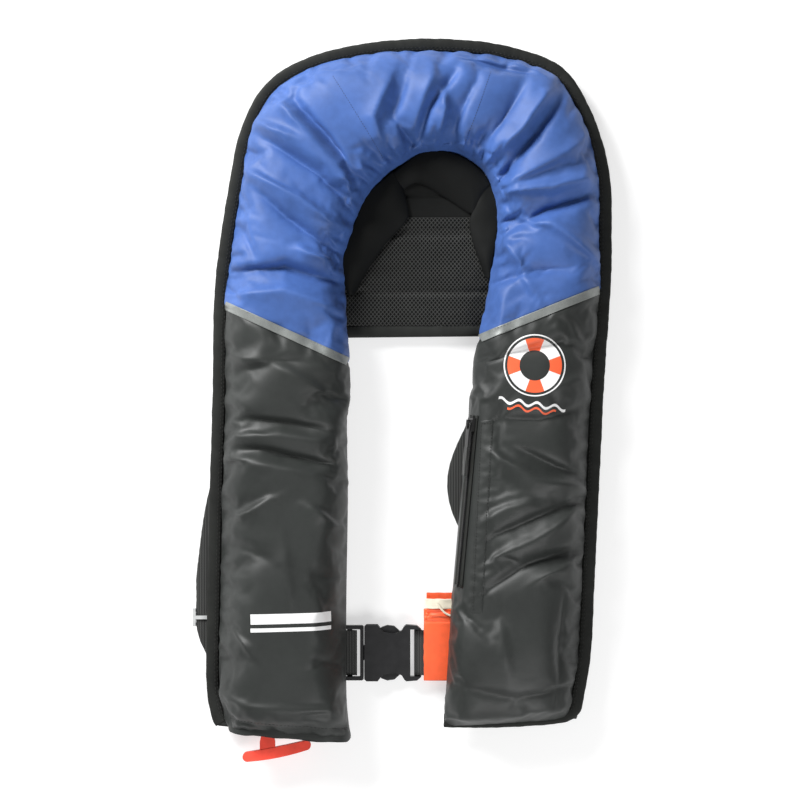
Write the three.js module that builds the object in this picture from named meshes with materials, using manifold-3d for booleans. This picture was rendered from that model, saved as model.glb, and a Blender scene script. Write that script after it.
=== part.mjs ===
// Inflatable life jacket, packed and lying on its back. Millimetres, +Z up, +Y towards the collar.
// The origin is under the middle of the jacket, on the surface that it lies on.
// The front cover is a gutter swept over a fan of ribs that run from the inner to the outer edge.
// The bladder, the inflator and the oral tube lie inside that gutter, on the flat back cover.

import * as THREE from 'three';
import { mergeVertices } from 'three/addons/utils/BufferGeometryUtils.js';
import Module from 'manifold-3d';

const wasm = await Module();
wasm.setup();

// ---------- Driving dimensions ----------

const JACKET_LENGTH = 585;      // collar top to hem, along Y
const JACKET_WIDTH = 339;       // outer edge to outer edge, along X
const CLEARANCE = 0.3;          // between pieces that touch
const FABRIC = 1.5;             // cover cloth with its lining
const PAD_THICKNESS = 12.2;     // back pad, which the jacket lies on
const PAD_GAP = 0.8;            // from the pad to the back cover
const LOBE_SLACK = 3.5;         // free height over the gas cylinder
const COLLAR_HEIGHT = 34;       // front cover over the back cover, on the collar
const HEM_HEIGHT = 21;          // mouth of the open hem
const INNER_ROLL = 26;          // width of the roll at the inner edge
const OUTER_ROLL = 46;          // width of the slope towards the outer edge
const FLANGE_WIDTH = 11;        // flat outer rim that the binding covers
const BINDING_WALL = 1.2;
const CLOSURE_THICKNESS = 1.1;  // hook strip, and the loop strip under it
const CLOSURE_WIDTH = 7;
const STRIP_WIDTH = 6.7;        // reflective tape
const STRIP_THICKNESS = 0.8;

const BLADDER_TAIL = 3;         // single layer under the inflator
const BLADDER_MARGIN = 7;       // from the bladder to the cover's edges

const WEBBING_WIDTH = 38;
const WEBBING_THICKNESS = 1.6;
const BELT_Y = -212.4;          // centre line of the waist belt at the nominal length
const BUCKLE_WIDTH = 47.4;
const BUCKLE_THICKNESS = 10;
const BUCKLE_LENGTH = 49.1;     // female half, mouth to rounded end
const BUCKLE_SLOT = 5.2;        // height of the slot that takes the prongs
const PRONG_HEIGHT = 4.6;
const SLEEVE_WALL = 1.2;

const CYLINDER_DIAMETER = 30;   // 33 g gas cylinder
const CYLINDER_LENGTH = 126;
const NECK_DIAMETER = 12.7;
const NECK_LENGTH = 13;
const INFLATOR_WIDTH = 32;
const INFLATOR_LENGTH = 40;
const INFLATOR_DROP = 4;        // the inflator body is lower than the cylinder by this much
const INFLATOR_TO_EDGE = 50.7;  // from the cylinder's axis to the lobe's outer edge
const INFLATOR_TO_HEM = 30.7;   // from the body's end to the hem
const PIERCER_DIAMETER = 3;
const LEVER_LENGTH = 26;
const LEVER_PIN_DIAMETER = 3;
const CAP_DIAMETER = 24;

const TUBE_DIAMETER = 12;
const TUBE_BORE = 8;
const TUBE_LENGTH = 108;
const TUBE_TO_EDGE = 45.9;      // from the oral tube's axis to the lobe's outer edge
const ORAL_CAP_DIAMETER = 16.8;
const ORAL_CAP_SLACK = 1.7;     // free height over the cap

const HANDLE_LENGTH = 58;
const HANDLE_THICKNESS = 8;
const HANDLE_Z = 20;

// The lobes are as high as what they hold, and the bladder fills the room under the oral cap.
const BASE_RISE = PAD_THICKNESS + PAD_GAP;
const LOBE_HEIGHT = BLADDER_TAIL + CYLINDER_DIAMETER + LOBE_SLACK + FABRIC;
const BLADDER_HEIGHT = LOBE_HEIGHT - FABRIC - ORAL_CAP_DIAMETER - ORAL_CAP_SLACK;
const INFLATOR_HEIGHT = CYLINDER_DIAMETER - INFLATOR_DROP;

// ---------- Pattern of the cover ----------
// Each rib is [inner x, inner y, outer x, outer y] on the nominal pattern, which is 585 long
// and 339 wide. The lobes are straight between their ribs and the collar is a smooth curve.

const PATTERN_LENGTH = 585;
const PATTERN_WIDTH = 339;
const scaleX = JACKET_WIDTH / PATTERN_WIDTH;
const scaleY = JACKET_LENGTH / PATTERN_LENGTH;

const leftHemEnd = [-44.1, -282.9, -157.2, -272.9];
const leftLobe = [
  [-46.2, -267.9, -160.6, -266.2],
  [-47.8, -245.4, -165.2, -241.3],
  [-47.8, -166.4, -164.7, -166.4],
  [-46.6, -83.2, -162.7, -79.0],
  [-47.4, -16.6, -160.2, 4.2],
  [-46.6, 32.0, -158.9, 83.2],
];
const collarBetween = [
  [-49.1, 106.5, -153.9, 133.1],
  [-45.8, 129.0, -147.3, 174.7],
  [-34.9, 160.6, -136.4, 226.3],
  [-16.6, 185.5, -114.8, 265.4],
  [1.7, 198.8, -76.5, 287.9],
  [21.6, 206.3, -18.3, 300.2],
  [40.8, 206.3, 43.3, 301.8],
  [55.7, 199.7, 96.5, 293.7],
  [66.6, 190.5, 134.8, 276.2],
  [73.2, 175.6, 159.7, 234.6],
  [77.4, 153.9, 172.2, 188.0],
  [74.0, 114.8, 173.9, 137.3],
];
const rightLobe = [
  [63.2, 51.2, 173.1, 95.7],
  [58.2, 12.5, 168.0, 20.8],
  [54.9, -2.5, 166.4, -8.3],
  [39.9, -166.4, 158.9, -166.4],
  [36.6, -216.3, 156.4, -212.2],
  [33.5, -262.9, 149.3, -256.3],
];
const rightHemEnd = [32.9, -273.7, 146.4, -267.0];

const BACK_BOTTOM = BASE_RISE;
const BACK_TOP = BACK_BOTTOM + FABRIC;
const COVER_FLOOR = BACK_TOP + CLEARANCE;                 // lowest edge of the front cover
const FLANGE_LIFT = 2 * CLOSURE_THICKNESS + 2 * CLEARANCE; // flange over the closure strips
const COLLAR_STEPS = 2;                                   // stations for each collar span

function makeRib(row, height) {
  const inner = new THREE.Vector2(row[0] * scaleX, row[1] * scaleY);
  const outer = new THREE.Vector2(row[2] * scaleX, row[3] * scaleY);
  return { inner, outer, height };
}

function mixRibs(a, b, part) {
  return {
    inner: a.inner.clone().lerp(b.inner, part),
    outer: a.outer.clone().lerp(b.outer, part),
    height: a.height + (b.height - a.height) * part,
  };
}

function ribLength(rib) {
  return rib.inner.distanceTo(rib.outer);
}

// The rib that lies a distance past rib a on the way to rib b, measured at their middles.
function ribTowards(a, b, distance) {
  const middleA = a.inner.clone().add(a.outer).multiplyScalar(0.5);
  const middleB = b.inner.clone().add(b.outer).multiplyScalar(0.5);
  return mixRibs(a, b, distance / middleA.distanceTo(middleB));
}

// A point over a rib: across is the distance from the inner edge, up is the height over z.
function onRib(rib, across, z) {
  const direction = rib.outer.clone().sub(rib.inner).normalize();
  return new THREE.Vector3(
    rib.inner.x + direction.x * across,
    rib.inner.y + direction.y * across,
    z,
  );
}

const leftRibs = leftLobe.map((row) => makeRib(row, LOBE_HEIGHT));
const rightRibs = rightLobe.map((row) => makeRib(row, LOBE_HEIGHT));
const leftHemRib = makeRib(leftHemEnd, HEM_HEIGHT);
const rightHemRib = makeRib(rightHemEnd, HEM_HEIGHT);

function collarRibs() {
  const rows = [leftLobe.at(-1), ...collarBetween, rightLobe[0]];
  const innerPoints = rows.map((row) => new THREE.Vector3(row[0] * scaleX, row[1] * scaleY, 0));
  const outerPoints = rows.map((row) => new THREE.Vector3(row[2] * scaleX, row[3] * scaleY, 0));
  const innerCurve = new THREE.CatmullRomCurve3(innerPoints, false, 'catmullrom', 0.5);
  const outerCurve = new THREE.CatmullRomCurve3(outerPoints, false, 'catmullrom', 0.5);
  const count = (rows.length - 1) * COLLAR_STEPS;
  const ribs = [];
  for (let i = 0; i <= count; i++) {
    const inner = innerCurve.getPoint(i / count);
    const outer = outerCurve.getPoint(i / count);
    const fromEnd = Math.min(i, count - i) / (2 * COLLAR_STEPS);
    const blend = THREE.MathUtils.smoothstep(fromEnd, 0, 1);
    ribs.push({
      inner: new THREE.Vector2(inner.x, inner.y),
      outer: new THREE.Vector2(outer.x, outer.y),
      height: LOBE_HEIGHT + (COLLAR_HEIGHT - LOBE_HEIGHT) * blend,
    });
  }
  return ribs;
}

const collar = collarRibs();

// All the ribs from the left hem round the neck to the right hem.
const allRibs = [leftHemRib, ...leftRibs, ...collar.slice(1, -1), ...rightRibs, rightHemRib];

// ---------- Section of the front cover ----------

// Rises from 0 to 1 like a quarter of a rounded square.
function roll(part) {
  const clipped = Math.min(Math.max(part, 0), 1);
  return (1 - (1 - clipped) ** 2.5) ** 0.4;
}

// Height of the cover's outside over its floor, at a distance from the inner edge.
function coverHeight(rib, across, inset = 0) {
  const crest = rib.height - inset;
  const room = ribLength(rib) - FLANGE_WIDTH;
  const innerPart = (across - inset) / (INNER_ROLL - inset);
  const outerPart = (room - inset - across) / (OUTER_ROLL - inset);
  return crest * roll(innerPart) * roll(outerPart);
}

// Distances from the inner edge at which the section has a corner.
const ZIP_FACET_LOW = 1.5;
const ZIP_FACET_HIGH = 8;
const innerSteps = [0, ZIP_FACET_LOW, ZIP_FACET_HIGH, 14, INNER_ROLL];
const outerSteps = [OUTER_ROLL, 30, 16, 7, 2, 0];

function sectionDistances(rib) {
  const room = ribLength(rib) - FLANGE_WIDTH;
  return [...innerSteps, ...outerSteps.map((step) => room - step)];
}

function coverTop(rib, across) {
  return COVER_FLOOR + Math.max(coverHeight(rib, across), 0);
}

// The section of the front cover's shell at one rib, as [across, z] points.
function shellSection(rib) {
  const room = ribLength(rib) - FLANGE_WIDTH;
  const rim = ribLength(rib) - BINDING_WALL - CLEARANCE;
  const flangeTop = FLANGE_LIFT + FABRIC;
  const outside = sectionDistances(rib).map((across) => {
    const low = across > room - OUTER_ROLL ? flangeTop : 0;
    return [across, COVER_FLOOR + Math.max(coverHeight(rib, across), low)];
  });
  const inside = sectionDistances(rib).slice(1).map((across) => {
    const low = across > room - OUTER_ROLL ? FLANGE_LIFT : 0;
    return [across, COVER_FLOOR + Math.max(coverHeight(rib, across, FABRIC), low)];
  });
  inside[0] = [FABRIC, COVER_FLOOR];
  return [
    ...outside,
    [rim, COVER_FLOOR + flangeTop],
    [rim, COVER_FLOOR + FLANGE_LIFT],
    ...inside.reverse(),
  ];
}

// ---------- Mesh helpers ----------

function signedVolume(points, faces) {
  let sum = 0;
  for (const [a, b, c] of faces) {
    sum += points[a].dot(new THREE.Vector3().crossVectors(points[b], points[c]));
  }
  return sum / 6;
}

function geometryFrom(points, faces) {
  const turned = signedVolume(points, faces) < 0;
  const index = faces.flatMap(([a, b, c]) => (turned ? [a, c, b] : [a, b, c]));
  const geometry = new THREE.BufferGeometry();
  const numbers = points.flatMap((p) => [p.x, p.y, p.z]);
  geometry.setAttribute('position', new THREE.Float32BufferAttribute(numbers, 3));
  geometry.setIndex(index);
  return geometry;
}

// Triangles that close one end ring, wound with the ring's own order or against it.
function capFaces(flat, offset, forward) {
  const ring = flat.map(([x, y]) => new THREE.Vector2(x, y));
  const ringSign = Math.sign(THREE.ShapeUtils.area(ring));
  return THREE.ShapeUtils.triangulateShape(ring, []).map(([a, b, c]) => {
    const sameWay = Math.sign(THREE.ShapeUtils.area([ring[a], ring[b], ring[c]])) === ringSign;
    return sameWay === forward ? [offset + a, offset + b, offset + c] : [offset + a, offset + c, offset + b];
  });
}

// Skins a row of equal rings and closes both ends. flat holds each end ring's 2D points.
function loft(rings, flatFirst, flatLast = flatFirst) {
  const size = rings[0].length;
  const points = rings.flat();
  const faces = [];
  for (let i = 0; i + 1 < rings.length; i++) {
    for (let j = 0; j < size; j++) {
      const a = i * size + j;
      const b = i * size + ((j + 1) % size);
      faces.push([a, b, a + size], [b, b + size, a + size]);
    }
  }
  const last = (rings.length - 1) * size;
  faces.push(...capFaces(flatFirst, 0, false), ...capFaces(flatLast, last, true));
  return geometryFrom(points, faces);
}

// Sweeps a section over ribs. section(rib) gives [across, z] pairs.
function sweepRibs(ribs, section) {
  const flats = ribs.map(section);
  const rings = flats.map((flat, i) => flat.map(([across, z]) => onRib(ribs[i], across, z)));
  return loft(rings, flats[0], flats.at(-1));
}

// A flat plate with a polygon outline, from z low to z high.
function plate(outline, low, high, holes = []) {
  const shape = new THREE.Shape(outline.map(([x, y]) => new THREE.Vector2(x, y)));
  for (const hole of holes) {
    shape.holes.push(new THREE.Path(hole.map(([x, y]) => new THREE.Vector2(x, y))));
  }
  const geometry = new THREE.ExtrudeGeometry(shape, { depth: high - low, bevelEnabled: false });
  return geometry.translate(0, 0, low);
}

function box(low, high) {
  const size = new THREE.Vector3().subVectors(new THREE.Vector3(...high), new THREE.Vector3(...low));
  const middle = new THREE.Vector3(...low).addScaledVector(size, 0.5);
  return new THREE.BoxGeometry(size.x, size.y, size.z).translate(middle.x, middle.y, middle.z);
}

// A round solid turned about the Z axis. The [radius, height] pairs may run either way.
function turned(profile, sides) {
  const area = THREE.ShapeUtils.area(profile.map(([r, h]) => new THREE.Vector2(r, h)));
  const ordered = area > 0 ? profile : [...profile].reverse();
  const points = ordered.map(([r, h]) => new THREE.Vector2(r, h));
  return new THREE.LatheGeometry(points, sides).rotateX(Math.PI / 2);
}

function rod(radius, low, high, sides = 16) {
  return turned([[0, low], [radius, low], [radius, high], [0, high]], sides);
}

// A round cord along a smooth curve through hand-chosen points.
function cord(points, diameter, steps) {
  const section = new THREE.Shape();
  section.absarc(0, 0, diameter / 2, 0, Math.PI * 2, false);
  const path = new THREE.CatmullRomCurve3(points.map((p) => new THREE.Vector3(...p)));
  const options = { extrudePath: path, steps, curveSegments: 4, bevelEnabled: false };
  return new THREE.ExtrudeGeometry(section, options);
}

function toManifold(geometry) {
  const bare = geometry.clone();
  bare.deleteAttribute('normal');
  bare.deleteAttribute('uv');
  const merged = mergeVertices(bare, 1e-4);
  return new wasm.Manifold(new wasm.Mesh({
    numProp: 3,
    vertProperties: new Float32Array(merged.attributes.position.array),
    triVerts: new Uint32Array(merged.index.array),
  }));
}

function fromManifold(solid) {
  const mesh = solid.getMesh();
  const geometry = new THREE.BufferGeometry();
  geometry.setAttribute('position', new THREE.BufferAttribute(new Float32Array(mesh.vertProperties), 3));
  geometry.setIndex(new THREE.BufferAttribute(new Uint32Array(mesh.triVerts), 1));
  return geometry;
}

function cut(geometry, ...tools) {
  const solid = tools.reduce((left, tool) => left.subtract(toManifold(tool)), toManifold(geometry));
  return fromManifold(solid);
}

function join(geometry, ...others) {
  const solid = others.reduce((left, other) => left.add(toManifold(other)), toManifold(geometry));
  return fromManifold(solid);
}

// ---------- Materials ----------

function finish(color, roughness, metalness = 0) {
  return () => new THREE.MeshStandardMaterial({ color, roughness, metalness });
}

const blackCloth = finish(0x3c413e, 0.6);
const blueCloth = finish(0x4a56b4, 0.55);
const bindingCloth = finish(0x2c2f2d, 0.8);
const meshCloth = finish(0x232524, 0.9);
const padFoam = finish(0x55585a, 0.95);
const reflective = finish(0xa5a59e, 0.35, 0.3);
const webbing = finish(0x1d1f1e, 0.8);
const blackPlastic = finish(0x161718, 0.4);
const greyPlastic = finish(0xb9bbbb, 0.45);
const orangeCloth = finish(0xf56941, 0.7);
const redPlastic = finish(0xf8503e, 0.4);
const whiteCloth = finish(0xe9e7dc, 0.8);
const yellowCoated = finish(0xf2d13a, 0.5);
const zinc = finish(0xb4b6b8, 0.35, 0.9);
const steel = finish(0xc3c6c8, 0.25, 1);
const rubber = finish(0x202020, 0.9);

const jacket = new THREE.Group();

function add(name, geometry, material, matrix) {
  const mesh = new THREE.Mesh(geometry, material());
  mesh.name = name;
  if (matrix) {
    mesh.applyMatrix4(matrix);
  }
  jacket.add(mesh);
}

// ---------- Covers ----------

const seamGap = 0.2;

function addFrontCovers() {
  const left = [...leftRibs];
  left[0] = ribTowards(leftRibs[0], leftRibs[1], seamGap);
  left[left.length - 1] = ribTowards(leftRibs.at(-1), leftRibs.at(-2), seamGap);
  add('cover_front_left', sweepRibs(left, shellSection), blackCloth);
  const middle = [...collar];
  middle[0] = ribTowards(collar[0], collar[1], seamGap);
  middle[middle.length - 1] = ribTowards(collar.at(-1), collar.at(-2), seamGap);
  add('cover_front_collar', sweepRibs(middle, shellSection), blueCloth);
  const right = [...rightRibs, rightHemRib];
  right[0] = ribTowards(rightRibs[0], rightRibs[1], seamGap);
  add('cover_front_right', sweepRibs(right, shellSection), blackCloth);
}

function addHem() {
  const start = ribTowards(leftRibs[0], leftHemRib, seamGap);
  add('hem_left', sweepRibs([start, leftHemRib], shellSection), blackCloth);
}

function addBackCover() {
  const section = (rib) => {
    const rim = ribLength(rib) - BINDING_WALL - CLEARANCE;
    return [[0, BACK_BOTTOM], [rim, BACK_BOTTOM], [rim, BACK_TOP], [0, BACK_TOP]];
  };
  add('cover_back', sweepRibs(allRibs, section), blackCloth);
}

// The binding is a folded tape: a lip over the flange, a wall round the rim, a lip underneath.
function addEdgeBinding() {
  const top = COVER_FLOOR + FLANGE_LIFT + FABRIC + CLEARANCE;
  const bottom = BACK_BOTTOM - CLEARANCE;
  const lip = FLANGE_WIDTH - 1;
  const section = (rib) => {
    const edge = ribLength(rib);
    return [
      [edge - lip, top],
      [edge - BINDING_WALL, top],
      [edge - BINDING_WALL, bottom],
      [edge - lip, bottom],
      [edge - lip, bottom - BINDING_WALL],
      [edge, bottom - BINDING_WALL],
      [edge, top + BINDING_WALL],
      [edge - lip, top + BINDING_WALL],
    ];
  };
  add('edge_binding', sweepRibs(allRibs, section), bindingCloth);
}

// Hook strip on the flange and loop strip on the back cover hold the jacket shut.
function addClosure() {
  const strip = (low) => (rib) => {
    const end = ribLength(rib) - BINDING_WALL - 2;
    return [
      [end - CLOSURE_WIDTH, low],
      [end, low],
      [end, low + CLOSURE_THICKNESS],
      [end - CLOSURE_WIDTH, low + CLOSURE_THICKNESS],
    ];
  };
  const ribs = allRibs.slice(1, -1);
  add('closure_loop_strip', sweepRibs(ribs, strip(COVER_FLOOR)), webbing);
  const hookLow = COVER_FLOOR + CLOSURE_THICKNESS + CLEARANCE;
  add('closure_hook_strip', sweepRibs(ribs, strip(hookLow)), webbing);
}

// A thin layer that follows the outside of the cover between two distances from the inner edge.
function layer(first, last, low, thickness) {
  return (rib) => {
    const stops = sectionDistances(rib).filter((across) => across > first && across < last(rib));
    const distances = [first, ...stops, last(rib)];
    const under = distances.map((across) => [across, facetTop(rib, across) + low]);
    const over = distances.map((across) => [across, facetTop(rib, across) + low + thickness]);
    return [...under, ...over.reverse()];
  };
}

// Height of the faceted cover at any distance from the inner edge.
function facetTop(rib, across) {
  const stops = sectionDistances(rib);
  const after = Math.max(stops.findIndex((stop) => stop >= across), 1);
  const part = (across - stops[after - 1]) / (stops[after] - stops[after - 1]);
  const low = coverTop(rib, stops[after - 1]);
  return low + (coverTop(rib, stops[after]) - low) * part;
}

function addReflectiveStrips() {
  const start = 4;
  const end = (rib) => ribLength(rib) - FLANGE_WIDTH - 8;
  const section = layer(start, end, CLEARANCE + 0.1, STRIP_THICKNESS);
  const leftSeam = leftRibs.at(-1);
  const left = [
    ribTowards(leftSeam, leftRibs.at(-2), STRIP_WIDTH / 2),
    leftSeam,
    ribTowards(leftSeam, collar[1], STRIP_WIDTH / 2),
  ];
  add('reflective_strip_left', sweepRibs(left, section), reflective);
  const rightSeam = rightRibs[0];
  const right = [
    ribTowards(rightSeam, collar.at(-2), STRIP_WIDTH / 2),
    rightSeam,
    ribTowards(rightSeam, rightRibs[1], STRIP_WIDTH / 2),
  ];
  add('reflective_strip_right', sweepRibs(right, section), reflective);
}

addFrontCovers();
addHem();
addBackCover();
addEdgeBinding();
addClosure();
addReflectiveStrips();

// ---------- Bladder ----------

const inflatorX = leftRibs[2].outer.x + INFLATOR_TO_EDGE;
const hemAcross = (leftHemRib.inner.x - inflatorX) / (leftHemRib.inner.x - leftHemRib.outer.x);
const hemY = leftHemRib.inner.y + (leftHemRib.outer.y - leftHemRib.inner.y) * hemAcross;
const inflatorEnd = hemY + INFLATOR_TO_HEM;                 // end face that carries the lever
const inflatorFace = inflatorEnd + INFLATOR_LENGTH;         // face that the cylinder screws into
const TAIL_RAMP = 14;           // from the single-layer tail to the full fold

// The left lobe's rib whose middle is at y.
function leftRibAt(y) {
  const middleY = (rib) => (rib.inner.y + rib.outer.y) / 2;
  const after = leftRibs.findIndex((rib) => middleY(rib) >= y);
  const from = middleY(leftRibs[after - 1]);
  const to = middleY(leftRibs[after]);
  return mixRibs(leftRibs[after - 1], leftRibs[after], (y - from) / (to - from));
}

function addBladder() {
  const tailEnd = inflatorFace + CYLINDER_LENGTH + 6;
  const middleY = (rib) => (rib.inner.y + rib.outer.y) / 2;
  const tail = [...leftRibs.filter((rib) => middleY(rib) < tailEnd), leftRibAt(tailEnd)];
  const foldStart = tailEnd + TAIL_RAMP;
  const folded = [leftRibAt(foldStart), ...leftRibs.filter((rib) => middleY(rib) > foldStart)];
  const ribs = [...tail, ...folded, ...collar.slice(1, -1), ...rightRibs.slice(0, -1)];
  const section = (rib) => {
    const height = tail.includes(rib) ? BLADDER_TAIL : BLADDER_HEIGHT;
    const start = BLADDER_MARGIN;
    const end = ribLength(rib) - FLANGE_WIDTH - BLADDER_MARGIN;
    const shoulder = 8;
    return [
      [start, COVER_FLOOR],
      [end, COVER_FLOOR],
      [end, COVER_FLOOR + height * 0.5],
      [end - shoulder, COVER_FLOOR + height],
      [start + shoulder, COVER_FLOOR + height],
      [start, COVER_FLOOR + height * 0.5],
    ];
  };
  add('bladder', sweepRibs(ribs, section), yellowCoated);
}

addBladder();

// ---------- Inflator and gas cylinder, in the left lobe ----------

const bladderTailTop = COVER_FLOOR + BLADDER_TAIL;
const PLATE_THICKNESS = 1.5;
const inflatorBottom = bladderTailTop + 2 * CLEARANCE + PLATE_THICKNESS;
const gasAxisZ = bladderTailTop + CLEARANCE + CYLINDER_DIAMETER / 2 + 0.2;
const RUNNING = 0.4;            // radial clearance of pins and screwed necks
const SEAL_THICKNESS = 1.5;
const PIERCER_LENGTH = 24.5;
const SPRING_WIRE = 0.9;
const springRadius = PIERCER_DIAMETER / 2 + RUNNING + 1.3;
const SPRING_LENGTH = 10;
const boreEnd = inflatorFace - NECK_LENGTH - SEAL_THICKNESS - 2 * CLEARANCE;
const LUG_THICKNESS = 3.4;
const LEVER_THICKNESS = 4;
const LEVER_HALF_WIDTH = 3.5;
const leverPivotX = inflatorX - 13;
const leverPivotY = inflatorEnd - 5.2;

// A solid made along Z is laid along Y, with its zero at the given place.
function alongY(geometry, x, y, z) {
  return geometry.rotateX(-Math.PI / 2).translate(x, y, z);
}

// A solid made along Z is laid along X.
function alongX(geometry, x, y, z) {
  return geometry.rotateY(Math.PI / 2).translate(x, y, z);
}

function addInflatorBody() {
  const half = INFLATOR_WIDTH / 2;
  const chamfer = 4;
  const outline = [
    [inflatorX - half, inflatorEnd],
    [inflatorX + half, inflatorEnd],
    [inflatorX + half, inflatorFace - chamfer],
    [inflatorX + half - chamfer, inflatorFace],
    [inflatorX - half + chamfer, inflatorFace],
    [inflatorX - half, inflatorFace - chamfer],
  ];
  const block = plate(outline, inflatorBottom, inflatorBottom + INFLATOR_HEIGHT);
  const lug = (low) => box(
    [leverPivotX - 4.5, inflatorEnd - 10, low],
    [leverPivotX + 4.5, inflatorEnd + 1, low + LUG_THICKNESS],
  );
  const lugGap = LEVER_THICKNESS / 2 + CLEARANCE;
  const upperLug = lug(gasAxisZ + lugGap);
  const lowerLug = lug(gasAxisZ - lugGap - LUG_THICKNESS);
  const neckDepth = NECK_LENGTH + SEAL_THICKNESS + 2 * CLEARANCE;
  const neckBore = rod(NECK_DIAMETER / 2 + RUNNING, -neckDepth, 1, 24);
  const neckHole = alongY(neckBore, inflatorX, inflatorFace, gasAxisZ);
  const springBore = rod(springRadius + SPRING_WIRE + 0.4, -SPRING_LENGTH - 1, 1);
  const springHole = alongY(springBore, inflatorX, boreEnd, gasAxisZ);
  const piercerBore = rod(PIERCER_DIAMETER / 2 + RUNNING, -1, INFLATOR_LENGTH);
  const piercerHole = alongY(piercerBore, inflatorX, inflatorEnd, gasAxisZ);
  const pinBore = rod(LEVER_PIN_DIAMETER / 2 + RUNNING, -20, 20);
  const pinHole = pinBore.translate(leverPivotX, leverPivotY, gasAxisZ);
  const solid = cut(join(block, upperLug, lowerLug), neckHole, springHole, piercerHole, pinHole);
  add('inflator_body', solid, blackPlastic);
}

function addGasCylinder() {
  const radius = CYLINDER_DIAMETER / 2;
  const neck = NECK_DIAMETER / 2;
  const recess = PIERCER_DIAMETER / 2 + 1;
  const shoulder = 0.6;
  const profile = [
    [0, -NECK_LENGTH + 8],
    [recess, -NECK_LENGTH + 8],
    [recess, -NECK_LENGTH],
    [neck, -NECK_LENGTH],
    [neck, shoulder],
    [radius * 0.72, shoulder + 4],
    [radius, shoulder + 13],
  ];
  const dome = 6;
  for (let i = 0; i <= dome; i++) {
    const angle = (i / dome) * Math.PI / 2;
    const r = i === dome ? 0 : radius * Math.cos(angle);
    profile.push([r, CYLINDER_LENGTH - radius + radius * Math.sin(angle)]);
  }
  add('gas_cylinder', alongY(turned(profile, 24), inflatorX, inflatorFace, gasAxisZ), steel);
}

function addSealAndPiercer() {
  const outer = NECK_DIAMETER / 2;
  const inner = PIERCER_DIAMETER / 2 + 0.8;
  const ring = [[inner, 0], [outer, 0], [outer, SEAL_THICKNESS], [inner, SEAL_THICKNESS], [inner, 0]];
  const sealY = inflatorFace - NECK_LENGTH - SEAL_THICKNESS - CLEARANCE;
  add('cylinder_seal', alongY(turned(ring, 20), inflatorX, sealY, gasAxisZ), rubber);
  const radius = PIERCER_DIAMETER / 2;
  const tip = [[0, 0], [radius, 0], [radius, PIERCER_LENGTH - 3], [0, PIERCER_LENGTH]];
  add('piercing_pin', alongY(turned(tip, 12), inflatorX, inflatorEnd - 1, gasAxisZ), steel);
  const turns = 4;
  const stepsPerTurn = 10;
  const coil = [];
  for (let i = 0; i <= turns * stepsPerTurn; i++) {
    const angle = (i / stepsPerTurn) * Math.PI * 2;
    const along = boreEnd - 1 - (SPRING_LENGTH - 2) * (i / (turns * stepsPerTurn));
    coil.push([
      inflatorX + springRadius * Math.cos(angle),
      along,
      gasAxisZ + springRadius * Math.sin(angle),
    ]);
  }
  add('return_spring', cord(coil, SPRING_WIRE, turns * stepsPerTurn), steel);
}

function addLever() {
  const end = leverPivotX + LEVER_LENGTH;
  const shape = new THREE.Shape();
  shape.absarc(leverPivotX, leverPivotY, LEVER_HALF_WIDTH + 0.5, Math.PI / 2, -Math.PI / 2, false);
  shape.absarc(end, leverPivotY, LEVER_HALF_WIDTH, -Math.PI / 2, Math.PI / 2, false);
  const hole = new THREE.Path();
  hole.absarc(leverPivotX, leverPivotY, LEVER_PIN_DIAMETER / 2 + RUNNING, 0, Math.PI * 2, true);
  shape.holes.push(hole);
  const depth = { depth: LEVER_THICKNESS, bevelEnabled: false, curveSegments: 6 };
  const geometry = new THREE.ExtrudeGeometry(shape, depth);
  add('inflation_lever', geometry.translate(0, 0, gasAxisZ - LEVER_THICKNESS / 2), redPlastic);
  const reach = LEVER_THICKNESS / 2 + CLEARANCE + LUG_THICKNESS + 0.5;
  const pin = rod(LEVER_PIN_DIAMETER / 2, -reach, reach, 12).translate(leverPivotX, leverPivotY, gasAxisZ);
  add('lever_pin', pin, steel);
}

// The automatic head: a cup that screws on the side of the body over its water-sensing bobbin.
function addAutomaticHead() {
  const x = inflatorX + INFLATOR_WIDTH / 2 + CLEARANCE;
  const y = inflatorEnd + INFLATOR_LENGTH / 2;
  const z = inflatorBottom + CAP_DIAMETER / 2 + 0.5;
  const radius = CAP_DIAMETER / 2;
  const depth = 20;
  const wall = 2;
  const cup = [
    [radius - wall, 0], [radius, 0], [radius, depth - 2], [radius - 2, depth],
    [0, depth], [0, depth - wall], [radius - wall, depth - wall], [radius - wall, 0],
  ];
  add('automatic_cap', alongX(turned(cup, 20), x, y, z), blackPlastic);
  const bobbin = rod(radius - wall - 2, 0.2, depth - wall - 2, 16);
  add('sensor_bobbin', alongX(bobbin, x, y, z), yellowCoated);
}

function addManifold() {
  const y = inflatorEnd + INFLATOR_LENGTH / 2;
  const disc = rod(18, 0, PLATE_THICKNESS, 24).translate(inflatorX, y, bladderTailTop + CLEARANCE);
  add('manifold_plate', disc, blackPlastic);
  const nut = rod(8, 0, 3.5, 6).translate(inflatorX, y, inflatorBottom + INFLATOR_HEIGHT + CLEARANCE);
  add('manifold_nut', nut, blackPlastic);
}

addInflatorBody();
addGasCylinder();
addSealAndPiercer();
addLever();
addAutomaticHead();
addManifold();

// ---------- Pull cord and its T handle ----------

const PULL_CORD_DIAMETER = 3;
const pullCordPoints = [
  [-101, -255.2, 31.2],
  [-100.4, -259.5, 31.2],
  [-100.6, -264, 29],
  [-103.5, -267.5, 25.5],
  [-108, -269.5, 22.5],
  [-112, -271.8, 20.8],
  [-114, -274.6, 20],
  [-114, -276.6, 20],
];

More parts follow.
